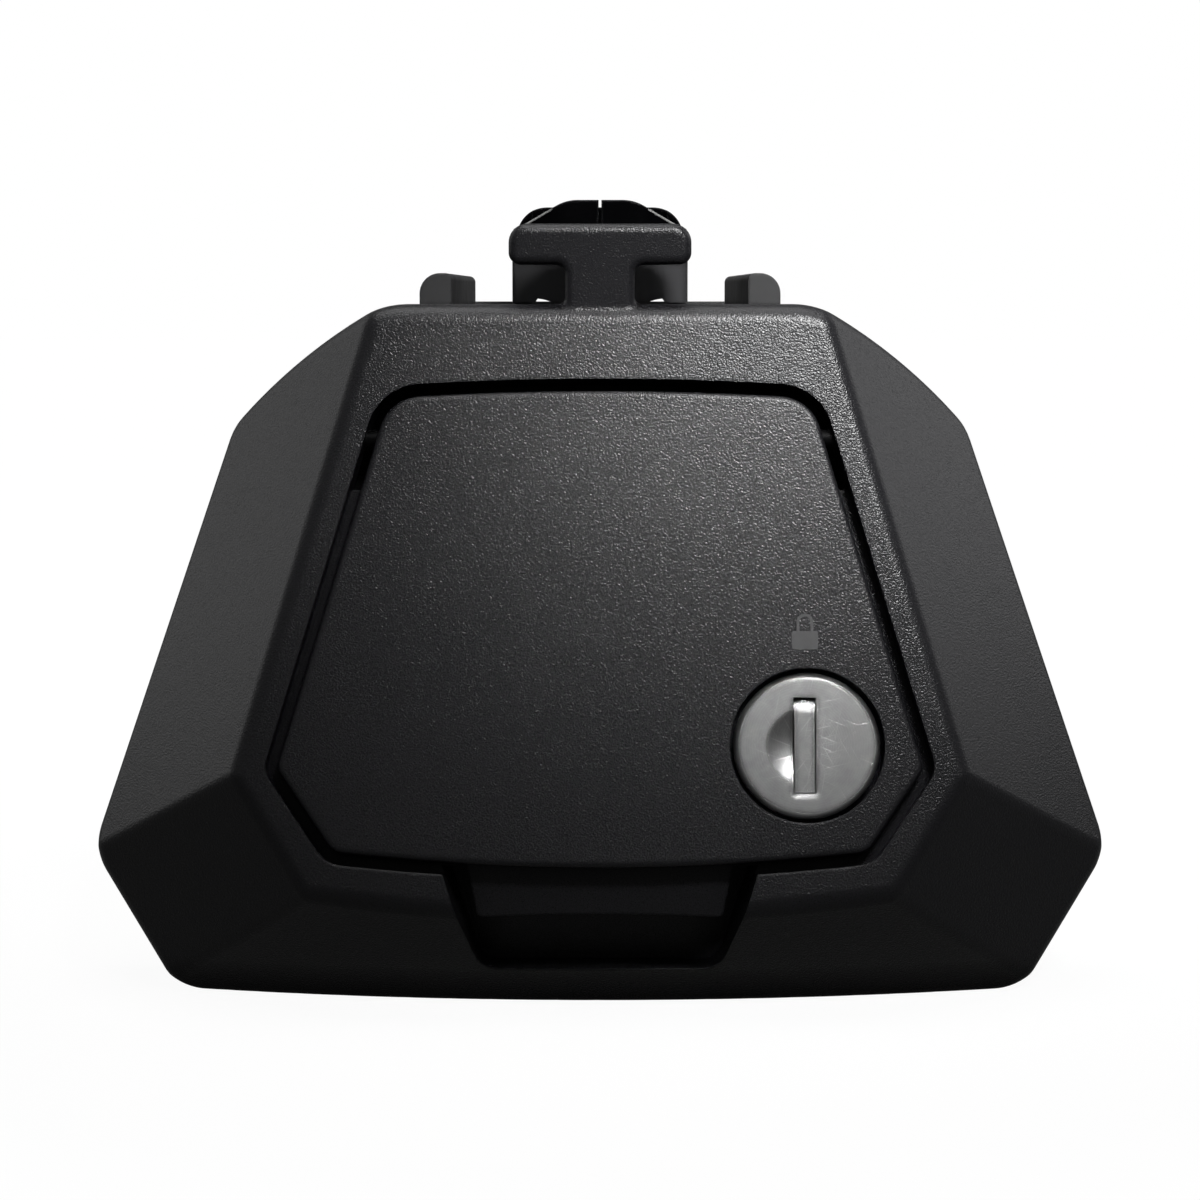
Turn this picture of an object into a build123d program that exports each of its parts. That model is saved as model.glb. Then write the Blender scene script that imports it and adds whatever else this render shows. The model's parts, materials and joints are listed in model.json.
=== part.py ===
"""Roof bar foot for a raised roof rail: moulded shield, locking flap, rail saddle, strap and tensioner.

Millimetres. +X runs along the roof rail, -Y is the outer (front) side of the car, +Z is up.
The origin is under the middle of the foot, on the plane of the shield's lower rim.
"""
import math
import os

from build123d import *

# Shield outline, seen from the front
PLATFORM_Z = 98.0
TOP_HALF = 29.8
SHOULDER_HALF = 53.2
SHOULDER_Z = 80.2
SHOULDER_BULGE = 1.35
WAIST_HALF = 73.0
WAIST_Z = 19.8
BASE_HALF = 60.4
TOP_CORNER_R = 12.0
SHOULDER_R = 9.0
WAIST_R = 8.0
BASE_CORNER_R = 7.0
SHIELD_WALL = 3.0
RIM_Y = -8.0
SHIELD_RIB_X = (52.0, 61.0)
SHIELD_RIB_T = 1.8
SHIELD_RIB_Y = -18.0
SHIELD_RIB_TOP_Z = 38.0

# Shield front face and facets
FRONT_Y = -49.0
FRONT_Z = 16.0
FRONT_LEAN = 12.0
CREASE_TOP = (31.5, 96.9)
CREASE_KNEE = (49.9, 34.1)
CREASE_FOOT = (40.9, 19.8)
WAIST_Y = -22.7
BOTTOM_EDGE_Y = -33.0
BOTTOM_SLOPE = 1.064
BOTTOM_BOW_R = 220.0
CREASE_R = 3.0
EDGE_R = 3.0
FACET_MIN = 0.05

# Finger recess under the flap
RECESS_TOP_HALF = 21.6
RECESS_TOP_Z = 21.5
RECESS_FOOT_HALF = 16.6
RECESS_FOOT_Z = 6.0
RECESS_CORNER_R = 3.5
RECESS_COLLAR_T = 2.0
RECESS_BACK_Y = -30.0

# T-shaped lug on top of the shield
LUG_NECK_HALF = 4.85
LUG_HEAD_HALF = 12.7
LUG_HEAD_RISE = 5.5
LUG_TOP_RISE = 11.1
LUG_FRONT_Y = -31.2
LUG_DEPTH = 7.6
LUG_TOP_R = 2.6
LUG_TIP_R = 1.6
LUG_NECK_R = 1.4
LUG_EDGE_R = 1.2
LUG_ROOT_R = 1.0

# Flap (lid), measured on the leaning front face
FACE_Z = 54.0
LID_T = 2.6
LID_GAP = 1.6
LID_TOP_HALF = 29.2
LID_TOP_Z = 85.2
LID_CROWN_Z = 86.2
LID_WIDE_HALF = 44.2
LID_WIDE_Z = 35.0
LID_FOOT_HALF = 36.4
LID_FOOT_Z = 23.8
LID_DIP_Z = 21.8
LID_TOP_R = 6.0
LID_SIDE_R = 2.0
LID_FOOT_R = 3.0
LID_EDGE_R = 0.8
LIP_IN = 1.2
LIP_T = 2.0
LIP_GAP = 0.8
LIP_TOP_Z = 73.0
LID_RIB_IN = 3.2
LID_RIB_T = 1.6
LID_RIB_H = 1.6
LID_CROSS_X = (-26.0, -11.0, 11.0)
TAB_HALF = 19.0
TAB_FOOT_HALF = 16.8
TAB_FOOT_Z = 15.4
TAB_FOOT_ARCH = 0.45
TAB_CORNER_R = 0.8
TAB_BACK = 5.2
TAB_STEP = 0.8
TAB_T = 2.2
TAB_BITE = 0.6
TAB_ROOM = 1.0

# Flap hinge pins
HINGE_Z = 80.0
HINGE_DEPTH = 2.6
HINGE_PIN_R = 1.2
HINGE_PIN_L = 10.0
HINGE_BITE = 4.0
HINGE_BARREL_R = 2.4
HINGE_BARREL_L = 7.0
HINGE_PLAY = 0.06
HINGE_BOSS_T = 4.6
HINGE_BOSS_R = 4.2

# Lock
LOCK_X = 28.3
LOCK_Z = 38.1
LOCK_FACE_R = 10.0
LOCK_FACE_T = 3.0
LOCK_SINK = 0.3
LOCK_CHAMFER = 0.7
LOCK_FACE_GAP = 0.6
LOCK_BODY_R = 7.5
LOCK_BODY_L = 15.6
LOCK_PLAY = 0.06
LOCK_SEAT_GAP = 0.2
SOCKET_WALL = 1.8
SLOT_W = 3.1
SLOT_H = 13.2
SLOT_DEPTH = 11.0
SLOT_X = -0.36
DISH_R = 5.2
DISH_DEPTH = 1.1
SHUTTER_T = 1.2
SHUTTER_GAP = 0.15
SHUTTER_SINK = 0.25
SHUTTER_PIN_R = 0.6
SHUTTER_PIN_L = 6.4
SHUTTER_PIN_PLAY = 0.05
RING_T = 0.9
RING_R = 9.2
RING_BITE = 0.9
TAIL_HALF = 3.0
TAIL_L = 2.2
CAM_T = 2.4
CAM_REACH = 21.5
CAM_HALF = 4.0
CAM_HUB_R = 6.5
CAM_SCREW_R = 1.5
CAM_SCREW_HEAD_R = 3.6
CAM_SCREW_HEAD_T = 1.8
CAM_SCREW_L = 6.0
CATCH_GAP = 0.4
CATCH_T = 3.0
CATCH_HALF = 6.0

# Rail, strap and rail pad
RAIL_R = 17.0
RAIL_Y = 14.0
SLEEVE_T = 3.5
SLEEVE_W = 34.0
SLEEVE_RISE = 11.0
BAND_T = 1.2
BAND_W = 30.0
BAND_END_H = 4.7
BAND_CORNER_R = 4.0
BAND_SLOT_HALF = 8.2
BAND_SLOT_FOOT_Z = 43.6
PAD_T = 5.0
PAD_L = 56.0
PAD_SPAN = 90.0
PAD_GROOVE_R = 0.8
PAD_GROOVES = 5
PAD_STUD_R = 4.0
PAD_STUD_H = 2.4
PAD_STUD_X = 22.0
ANCHOR_PIN_R = 3.0
ANCHOR_PIN_L = 51.0
ANCHOR_Z = 46.0
ANCHOR_PLAY = 0.1

# Saddle
FOOT_DEPTH = 97.6
PLATFORM_HALF = 27.5
PLATFORM_T = 7.0
PLATE_T = 4.0
PLATE_GAP = 0.4
PLATE_FOOT_Z = 40.0
CORE_HALF = 20.0
CORE_REAR_Y = 27.0
CAVITY_HALF = 13.3
CAVITY_REAR_Y = 22.4
CAVITY_FLOOR_Z = 46.0
NOSE_RELIEF_Z = 42.4
NOSE_RELIEF_Y = 4.0
SHOE_HALF_X = 28.0
SHOE_HALF_Y = 15.5
SHOE_TOP_Z = 46.0
POCKET_HALF = 17.6
POCKET_TOP_Z = 62.0
RIB_T = 3.0
RIB_OUT = 26.0
RIB_Y = (-4.0, 20.5, 27.6)
CHEEK_T = 5.0
CHEEK_FOOT_Z = 39.5
CHEEK_TOE = 3.0
CHEEK_HEEL = 6.5
REAR_WALL_T = 3.0
REAR_WALL_Z = 58.0
REAR_WALL_IN = 5.0
REAR_WALL_R = 8.0
DECK_CORNER_R = 5.0
SEAT_RISE = 0.4
SEAT_GAP = 0.8
CORING_DEEP = 1.2
CORING_W = 11.0
CORING_H = 11.5
CORING_R = 2.0
CORING_PITCH = 14.0
CORING_GRID = (3, 2)
CORING_Z = 78.0
PLATE_RIB_T = 2.0
PLATE_RIB_H = 3.0
PLATE_RIB_Z = (56.0, 66.0, 76.0)
NUT_BOSS_HALF = 11.0
NUT_WALL_T = 4.0
PIVOT_FLOAT = 1.0

# Bar rests
REST_FRONT_IN = 21.7
REST_REAR_IN = 20.3
REST_OUT = 26.4
REST_RISE = 4.5
REST_END_GAP = 0.5
REST_CORNER_R = 3.0
REST_INNER_R = 1.0
REST_TONGUE_W = 3.0
REST_TONGUE_H = 3.0
REST_REAR_IN_Y = 3.6

# Bar bracket
BRACKET_T = 2.5
BRACKET_HALF = 12.75
BRACKET_FRONT_Y = -17.0
BRACKET_REAR_Y = 20.0
BRACKET_NOSE_HALF = 6.2
BRACKET_NOSE_RUN = 4.5
BRACKET_BEND_R = 3.0
BRACKET_SLIT = 0.4
BRACKET_RISE = 14.8
BRACKET_TOP_HALF = 4.8
BRACKET_TOP_R = 6.0
BRACKET_BROW_HALF = 10.6
BRACKET_BROW_RISE = 11.6
BRACKET_WALL_RISE = 10.3
BRACKET_REAR_R = 4.6
BRACKET_LIFT = 0.2
BRACKET_REAR_LIFT = 1.3
BRACKET_NOTCH = ((6.0, 0.0), (8.0, 0.62), (9.0, 0.78), (9.6, 0.0))
BRACKET_LEG_Y = (2.0, 16.0)
BRACKET_LEG_FOOT_Z = 46.8

# Tensioner: lever, pivot pin, bolt, thrust shoe and nut
PIVOT_Y = 9.0
PIVOT_Z = 53.0
PIVOT_R = 4.0
PIVOT_L = 46.0
PIVOT_PLAY = 0.05
BUSH_WALL = 1.0
LEVER_HUB_R = 6.2
LEVER_HUB_HALF = 9.6
LEVER_ARM_HALF = 6.0
LEVER_ARM_T = 5.0
LEVER_TOP_Z = 77.0
NOSE_HALF = 7.2
NOSE_FOOT_Z = 49.0
NOSE_TOP_Z = 54.0
NOSE_TIP_Y = -10.0
NOSE_TIP_T = 2.6
NOSE_TIP_RISE = 1.8
NOSE_REST = 0.3
BOLT_Z = 70.0
BOLT_R = 4.0
BOLT_HEAD_R = 6.5
BOLT_HEAD_L = 6.8
BOLT_HEAD_GAP = 0.5
BOLT_SOCKET_AF = 6.0
BOLT_SOCKET_DEPTH = 4.5
BOLT_DOG_R = 2.75
BOLT_DOG_L = 3.4
BOLT_PLAY = 0.05
BOLT_HOLE_R = 4.5
NUT_AF = 13.0
NUT_T = 6.5
NUT_GAP = 0.15
THRUST_R = 5.0
THRUST_T = 7.0
THRUST_GAP = 0.2

# Fasteners
CLIP_T = 1.0
CLIP_OUT = 2.0
CLIP_BITE = 0.6
CLIP_GAP = 0.6
SCREW_R = 2.0
SCREW_L = 12.0
SCREW_HEAD_R = 4.0
SCREW_HEAD_L = 2.6
SCREW_SPOTS = ((56.0, 47.0), (40.0, 84.0))
SCREW_BOSS_R = 4.2

LEAN = math.radians(FRONT_LEAN)
REAR_Y = FRONT_Y + FOOT_DEPTH
LUG_HEAD_Z = PLATFORM_Z + LUG_HEAD_RISE
LUG_TOP_Z = PLATFORM_Z + LUG_TOP_RISE
REST_TOP_Z = PLATFORM_Z + REST_RISE
REST_REAR_Y = REAR_Y - REST_REAR_IN_Y
BRACKET_TOP_Z = PLATFORM_Z + BRACKET_RISE
BRACKET_BROW_Z = PLATFORM_Z + BRACKET_BROW_RISE
BRACKET_WALL_Z = PLATFORM_Z + BRACKET_WALL_RISE
RAIL_Z = RAIL_R + SLEEVE_T
STRAP_R = RAIL_R + SLEEVE_T / 2
PAD_R = RAIL_R + PAD_T
EYE_R = ANCHOR_PIN_R + ANCHOR_PLAY + BAND_T / 2
ANCHOR_Y = RAIL_Y + STRAP_R + EYE_R
LEVER_FACE_Y = PIVOT_Y - LEVER_ARM_T / 2
THRUST_REAR_Y = LEVER_FACE_Y - THRUST_GAP
THRUST_FRONT_Y = THRUST_REAR_Y - THRUST_T
NUT_FRONT_Y = RIM_Y - NUT_T
NUT_BOSS_FRONT_Y = NUT_FRONT_Y - NUT_WALL_T
BOLT_SHOULDER_Y = THRUST_FRONT_Y - THRUST_GAP
BOLT_HEAD_Y = NUT_BOSS_FRONT_Y - BOLT_HEAD_GAP
BAND_SLOT_TOP_Z = NOSE_TOP_Z + NOSE_REST
BAND_TOP_Z = BAND_SLOT_TOP_Z + BAND_END_H


def front_y(z):
    """Depth of the leaning front face at a height."""
    return FRONT_Y + (z - FRONT_Z) * math.tan(LEAN)


# Frame of the front face: x along the rail, y up the face, z out of it
FACE = Plane(
    origin=(0, front_y(FACE_Z), FACE_Z),
    x_dir=(1, 0, 0),
    z_dir=(0, -math.cos(LEAN), math.sin(LEAN)),
)


def up_face(z):
    """Distance up the front face for a height."""
    return (z - FACE_Z) / math.cos(LEAN)


def on_front(point):
    """A front-view point (x, z) placed on the leaning front face."""
    return Vector(point[0], front_y(point[1]), point[1])


def block(x, y, z):
    """A box between pairs of limits."""
    size = [b - a for a, b in (x, y, z)]
    middle = [(a + b) / 2 for a, b in (x, y, z)]
    return Pos(*middle) * Box(*size)


def pair(x, y, z):
    """The same box on the right and, mirrored, on the left."""
    right = block(x, y, z)
    return right + mirror(right, about=Plane.YZ)


def rod_x(radius, length, y, z, x=0):
    """A round bar along the rail, centred on x."""
    return Pos(x, y, z) * Rot(0, 90, 0) * Cylinder(radius, length)


def rod_y(radius, start, end, x, z):
    """A round bar from front to rear."""
    return Pos(x, (start + end) / 2, z) * Rot(90, 0, 0) * Cylinder(radius, abs(end - start))


def extrude_x(section, half):
    """A section drawn in Y and Z, extruded to both sides of the middle."""
    return extrude(Plane.YZ * section, amount=half, both=True)


def extrude_y(section, start, end):
    """A front-view section in X and Z, extruded from one depth to another."""
    return extrude(Plane.XZ.offset(-end) * section, amount=end - start)


def both_sides(shape):
    """A shape and its mirror image across the middle."""
    return shape + mirror(shape, about=Plane.YZ)


def rounded(face, corners):
    """A face with the corners at the given points rounded."""
    for x, y, radius in corners:
        near = [v for v in face.vertices() if abs(abs(v.X) - x) < 1e-4 and abs(v.Y - y) < 1e-4]
        face = fillet(near, radius)
    return face


def shield_outline():
    """Front view of the shield as a face in its own X and Z."""
    run = Vector(SHOULDER_HALF - TOP_HALF, SHOULDER_Z - PLATFORM_Z)
    bulge = Vector(-run.Y, run.X).normalized() * SHOULDER_BULGE
    middle = Vector(TOP_HALF, PLATFORM_Z) + run / 2 + bulge
    right = make_face([
        Line((0, PLATFORM_Z), (TOP_HALF, PLATFORM_Z)),
        ThreePointArc((TOP_HALF, PLATFORM_Z), (middle.X, middle.Y), (SHOULDER_HALF, SHOULDER_Z)),
        Polyline((SHOULDER_HALF, SHOULDER_Z), (WAIST_HALF, WAIST_Z), (BASE_HALF, 0), (0, 0), (0, PLATFORM_Z)),
    ])
    return rounded(both_sides(right), [
        (TOP_HALF, PLATFORM_Z, TOP_CORNER_R),
        (SHOULDER_HALF, SHOULDER_Z, SHOULDER_R),
        (WAIST_HALF, WAIST_Z, WAIST_R),
        (BASE_HALF, 0, BASE_CORNER_R),
    ])


def plane_through(a, b, c, inside):
    """Plane through three points, its normal turned away from the inside point."""
    normal = (b - a).cross(c - a)
    if normal.dot(inside - a) > 0:
        normal = -normal
    return Plane(origin=a, z_dir=normal)


def facet_planes():
    """The front face, then the side facet and the lower corner facet of each side."""
    inside = Vector(0, RIM_Y, PLATFORM_Z / 2)
    planes = [FACE]
    for side in (-1, 1):
        top, knee, foot = (on_front((side * x, z)) for x, z in (CREASE_TOP, CREASE_KNEE, CREASE_FOOT))
        waist = Vector(side * WAIST_HALF, WAIST_Y, WAIST_Z)
        planes.append(plane_through(top, knee, waist, inside))
        planes.append(plane_through(knee, foot, waist, inside))
    return planes


def bottom_bow(inset):
    """Everything behind the bowed lower facet: a bowed plan swept up and forward."""
    y = BOTTOM_EDGE_Y + inset * math.hypot(1, BOTTOM_SLOPE)
    reach = WAIST_HALF * 1.2
    end = y + BOTTOM_BOW_R - math.sqrt(BOTTOM_BOW_R**2 - reach**2)
    plan = make_face([
        ThreePointArc((-reach, end), (0, y), (reach, end)),
        Polyline((reach, end), (reach, PLATFORM_Z * 2), (-reach, PLATFORM_Z * 2), (-reach, end)),
    ])
    sweep = Vector(0, -BOTTOM_SLOPE, 1)
    return extrude(plan, amount=sweep.length * PLATFORM_Z, dir=sweep)


def shield_form(inset, rear):
    """The faceted shield as a sharp solid, every face moved in by the inset."""
    outline = shield_outline()
    if inset:
        outline = offset(outline, -inset)
    body = extrude_y(outline, FRONT_Y - SHIELD_WALL, rear)
    for plane in facet_planes():
        body = split(body, bisect_by=plane.offset(-inset), keep=Keep.BOTTOM)
    return body & bottom_bow(inset)


def faces_forward(face):
    """True for the front face and the facets around it, false for the side walls and the rear."""
    return face.normal_at().Y < -FACET_MIN


def shield_skin():
    """The shield as a solid with its creases and outer edges softened."""
    body = shield_form(0, RIM_Y)
    facets = body.faces().filter_by(faces_forward)
    creases = [edge for edge in body.edges() if sum(edge in facet.edges() for facet in facets) == 2]
    body = fillet(creases, CREASE_R)
    walls = [face for face in body.faces() if abs(face.normal_at().Y) < FACET_MIN]
    rims = []
    for edge in body.edges():
        in_front = edge.bounding_box().min.Y < RIM_Y - FACET_MIN
        along_depth = abs(edge.tangent_at(0.5).Y) > 1 - FACET_MIN
        if in_front and not along_depth and any(edge in wall.edges() for wall in walls):
            rims.append(edge)
    return fillet(rims, EDGE_R)


def lid_outline():
    """The flap's outline on the front face."""
    top, crown, wide, foot, dip = (
        up_face(z) for z in (LID_TOP_Z, LID_CROWN_Z, LID_WIDE_Z, LID_FOOT_Z, LID_DIP_Z)
    )
    face = make_face([
        ThreePointArc((-LID_TOP_HALF, top), (0, crown), (LID_TOP_HALF, top)),
        Polyline((LID_TOP_HALF, top), (LID_WIDE_HALF, wide), (LID_FOOT_HALF, foot)),
        ThreePointArc((LID_FOOT_HALF, foot), (0, dip), (-LID_FOOT_HALF, foot)),
        Polyline((-LID_FOOT_HALF, foot), (-LID_WIDE_HALF, wide), (-LID_TOP_HALF, top)),
    ])
    return rounded(face, [
        (LID_TOP_HALF, top, LID_TOP_R),
        (LID_WIDE_HALF, wide, LID_SIDE_R),
        (LID_FOOT_HALF, foot, LID_FOOT_R),
    ])


def seat_lip():
    """Stepped seat behind the flap's edge that closes the gap around it, in the front face's frame."""
    outer = offset(lid_outline(), LID_GAP + LIP_T)
    deep = LID_T + LIP_GAP + LIP_T
    return extrude(outer, amount=-deep) - extrude(offset(outer, -LIP_T - LID_GAP - LIP_IN), amount=-deep)


def swing_room():
    """Room for the flap above its hinge, where the seat lip stops, in the front face's frame."""
    deep = LID_T + LIP_GAP + LIP_T
    upper = Pos(0, up_face(LIP_TOP_Z) + PLATFORM_Z / 2) * Rectangle(2 * WAIST_HALF, PLATFORM_Z)
    return extrude(offset(lid_outline(), LID_GAP) & upper, amount=-deep)


def lid_half_width(z):
    """Half width of the flap between its top and wide corners."""
    share = (LID_TOP_Z - z) / (LID_TOP_Z - LID_WIDE_Z)
    return LID_TOP_HALF + share * (LID_WIDE_HALF - LID_TOP_HALF)


def recess_section(grow=0.0):
    """Finger recess seen from the front, grown by a wall thickness."""
    face = make_face(Polyline(
        (-RECESS_TOP_HALF, RECESS_TOP_Z),
        (RECESS_TOP_HALF, RECESS_TOP_Z),
        (RECESS_FOOT_HALF, RECESS_FOOT_Z),
        (-RECESS_FOOT_HALF, RECESS_FOOT_Z),
        close=True,
    ))
    face = rounded(face, [(RECESS_FOOT_HALF, RECESS_FOOT_Z, RECESS_CORNER_R)])
    return offset(face, grow) if grow else face


def t_lug():
    """The T-shaped lug that takes the end of the bar."""
    face = make_face(Polyline(
        (-LUG_NECK_HALF, PLATFORM_Z - SHIELD_WALL),
        (-LUG_NECK_HALF, LUG_HEAD_Z),
        (-LUG_HEAD_HALF, LUG_HEAD_Z),
        (-LUG_HEAD_HALF, LUG_TOP_Z),
        (LUG_HEAD_HALF, LUG_TOP_Z),
        (LUG_HEAD_HALF, LUG_HEAD_Z),
        (LUG_NECK_HALF, LUG_HEAD_Z),
        (LUG_NECK_HALF, PLATFORM_Z - SHIELD_WALL),
        close=True,
    ))
    face = rounded(face, [
        (LUG_HEAD_HALF, LUG_TOP_Z, LUG_TOP_R),
        (LUG_HEAD_HALF, LUG_HEAD_Z, LUG_TIP_R),
        (LUG_NECK_HALF, LUG_HEAD_Z, LUG_NECK_R),
    ])
    lug = extrude_y(face, LUG_FRONT_Y, LUG_FRONT_Y + LUG_DEPTH)
    front = lug.faces().sort_by(Axis.Y)[0]
    edges = [e for e in front.edges() if e.center().Z > PLATFORM_Z]
    return fillet(edges, LUG_EDGE_R)


def at_lug_root(edge):
    """True for the edges where the lug's neck grows out of the shield's top."""
    box = edge.bounding_box()
    in_width = max(abs(box.min.X), abs(box.max.X)) < LUG_NECK_HALF + LUG_ROOT_R / 2
    in_depth = box.min.Y > LUG_FRONT_Y - LUG_ROOT_R / 2 and box.max.Y < LUG_FRONT_Y + LUG_DEPTH + LUG_ROOT_R / 2
    in_height = box.min.Z > PLATFORM_Z - SHIELD_WALL / 2 and box.max.Z < PLATFORM_Z + LUG_ROOT_R / 2
    return in_width and in_depth and in_height


def hinge_spot():
    """Hinge line in the front face's own frame: up the face, and out of it."""
    return up_face(HINGE_Z), -HINGE_DEPTH


def hinge_rod(radius, start, end):
    """A round bar on the hinge line, on both sides, in the front face's frame."""
    up, out = hinge_spot()
    return both_sides(rod_x(radius, end - start, up, out, x=(start + end) / 2))


def lock_depths():
    """Depths below the front face: seat, body end, ring start, cam start and cam end."""
    seat = LOCK_SINK + LOCK_FACE_T
    end = seat + LOCK_BODY_L
    ring = end - 2 * RING_T
    return seat, end, ring, end, end + CAM_T


def front_shield():
    """Outer shield: hollow faceted moulding, flap opening, recess collar, lug, bosses and lock catch."""
    skin = shield_skin()
    hollow = shield_form(SHIELD_WALL, RIM_Y + 1)
    body = skin - hollow
    body += extrude_y(recess_section(RECESS_COLLAR_T), FRONT_Y, RECESS_BACK_Y) & skin
    body += FACE * seat_lip() & skin
    for x in SHIELD_RIB_X:
        rib = pair((x - SHIELD_RIB_T / 2, x + SHIELD_RIB_T / 2), (FRONT_Y, SHIELD_RIB_Y), (0, SHIELD_RIB_TOP_Z))
        body += rib & shield_form(SHIELD_WALL / 2, RIM_Y)
    for x, z in SCREW_SPOTS:
        boss = both_sides(rod_y(SCREW_BOSS_R, FRONT_Y, RIM_Y - PLATE_T, x, z))
        body += boss & skin
    up, out = hinge_spot()
    edge = lid_half_width(HINGE_Z) + LID_GAP
    boss = Pos(edge + HINGE_BOSS_T / 2, up, -HINGE_DEPTH) * Box(HINGE_BOSS_T, 2 * HINGE_BOSS_R, 2 * HINGE_BARREL_R)
    boss += Pos(edge + HINGE_BOSS_T / 2, up, -HINGE_DEPTH / 2) * Box(HINGE_BOSS_T, 2 * HINGE_BOSS_R, HINGE_DEPTH)
    body += FACE * both_sides(boss) & skin
    seat, end, ring, cam, cam_end = lock_depths()
    catch_x = lid_half_width(LOCK_Z) + LID_GAP + CATCH_T / 2
    catch = Pos(catch_x, up_face(LOCK_Z), -(cam - CATCH_GAP) / 2) * Box(CATCH_T, 2 * CATCH_HALF, cam - CATCH_GAP)
    body += FACE * catch & skin
    body += t_lug()
    body = fillet([edge for edge in body.edges() if at_lug_root(edge)], LUG_ROOT_R)
    opening = extrude(offset(lid_outline(), LID_GAP), amount=LID_T + LIP_GAP, both=True)
    body -= FACE * opening
    below = extrude(offset(lid_outline(), -LIP_IN), amount=2 * (LID_T + LIP_GAP + LIP_T), both=True)
    body -= FACE * below
    body -= FACE * swing_room()
    body -= extrude_y(recess_section(), FRONT_Y - SHIELD_WALL, RECESS_BACK_Y - RECESS_COLLAR_T)
    tab = TAB_HALF + TAB_ROOM
    root_z = LID_DIP_Z + 2 * TAB_T + TAB_ROOM
    body -= block((-tab, tab), (FRONT_Y, RECESS_BACK_Y - RECESS_COLLAR_T), (RECESS_TOP_Z - TAB_ROOM, root_z))
    body -= FACE * hinge_rod(HINGE_PIN_R + HINGE_PLAY, edge - HINGE_BITE, edge + HINGE_BITE)
    for x, z in SCREW_SPOTS:
        body -= both_sides(rod_y(SCREW_R, RIM_Y - SCREW_L, RIM_Y, x, z))
    return body


def lid_panel():
    """Flap: panel with a stiffening rib, pull tab, hinge barrels and lock socket, in one moulding."""
    outline = lid_outline()
    panel = extrude(outline, amount=-LID_T)
    front = panel.faces().sort_by(Axis.Z)[-1]
    panel = fillet(front.edges(), LID_EDGE_R)
    inner = offset(outline, -LID_RIB_IN)
    rib = inner - offset(inner, -LID_RIB_T)
    for x in LID_CROSS_X:
        rib += inner & Pos(x, 0) * Rectangle(LID_RIB_T, 2 * PLATFORM_Z)
    panel += Pos(0, 0, -LID_T) * extrude(rib, amount=-LID_RIB_H)
    edge = lid_half_width(HINGE_Z)
    panel += hinge_rod(HINGE_BARREL_R, edge - HINGE_BARREL_L, edge - 0.6)
    root = up_face(LID_DIP_Z) + 2 * TAB_T
    foot = up_face(TAB_FOOT_Z)
    tab = make_face([
        Polyline((-TAB_FOOT_HALF, foot), (-TAB_HALF, root), (TAB_HALF, root), (TAB_FOOT_HALF, foot)),
        ThreePointArc((TAB_FOOT_HALF, foot), (0, foot + TAB_FOOT_ARCH), (-TAB_FOOT_HALF, foot)),
    ])
    tab = rounded(tab, [(TAB_FOOT_HALF, foot, TAB_CORNER_R)])
    brow = root - TAB_T
    web = Plane.YZ * make_face(Polyline(
        (root, -LID_T + TAB_BITE),
        (root, -LID_T - TAB_T),
        (foot, -TAB_BACK - TAB_T),
        (foot, -TAB_BACK),
        (brow, -LID_T - TAB_STEP),
        (brow, -LID_T + TAB_BITE),
        close=True,
    ))
    panel += extrude(tab, amount=-2 * (TAB_BACK + TAB_T), both=True) & extrude(web, amount=TAB_HALF, both=True)
    seat, end, ring, cam, cam_end = lock_depths()
    here = Pos(LOCK_X, up_face(LOCK_Z), 0)
    bore_r = LOCK_FACE_R + LOCK_FACE_GAP
    socket_end = ring - LOCK_SEAT_GAP
    panel += here * Pos(0, 0, -(LID_T + socket_end) / 2) * Cylinder(LOCK_BODY_R + LOCK_PLAY + SOCKET_WALL, socket_end - LID_T)
    deep = seat + LOCK_SEAT_GAP
    panel += here * Pos(0, 0, -(deep + SOCKET_WALL) / 2 - LID_T / 2) * Cylinder(bore_r + SOCKET_WALL, deep + SOCKET_WALL - LID_T)
    panel -= here * Pos(0, 0, -deep / 2) * Cylinder(bore_r, deep)
    panel -= here * Pos(0, 0, -socket_end / 2) * Cylinder(LOCK_BODY_R + LOCK_PLAY, socket_end + 1)
    panel -= hinge_rod(HINGE_PIN_R, edge - HINGE_BITE - HINGE_PIN_L / 2 + HINGE_BITE, edge + 1)
    return FACE * panel


def lid_hinge_pins():
    """Two steel pins pressed into the flap's barrels, turning in the shield."""
    edge = lid_half_width(HINGE_Z) + LID_GAP
    return FACE * hinge_rod(HINGE_PIN_R, edge + HINGE_BITE - 0.3 - HINGE_PIN_L, edge + HINGE_BITE - 0.3)


def lock_frame():
    """Frame of the lock: its axis is z, out of the flap."""
    return FACE * Pos(LOCK_X, up_face(LOCK_Z), 0)


def shutter_axis():
    """Hinge of the key shutter in the lock's frame: up the slot, and depth."""
    up = SLOT_H / 2 - SHUTTER_GAP - SHUTTER_T
    return up, -(LOCK_SINK + SHUTTER_SINK + SHUTTER_T)


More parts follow.
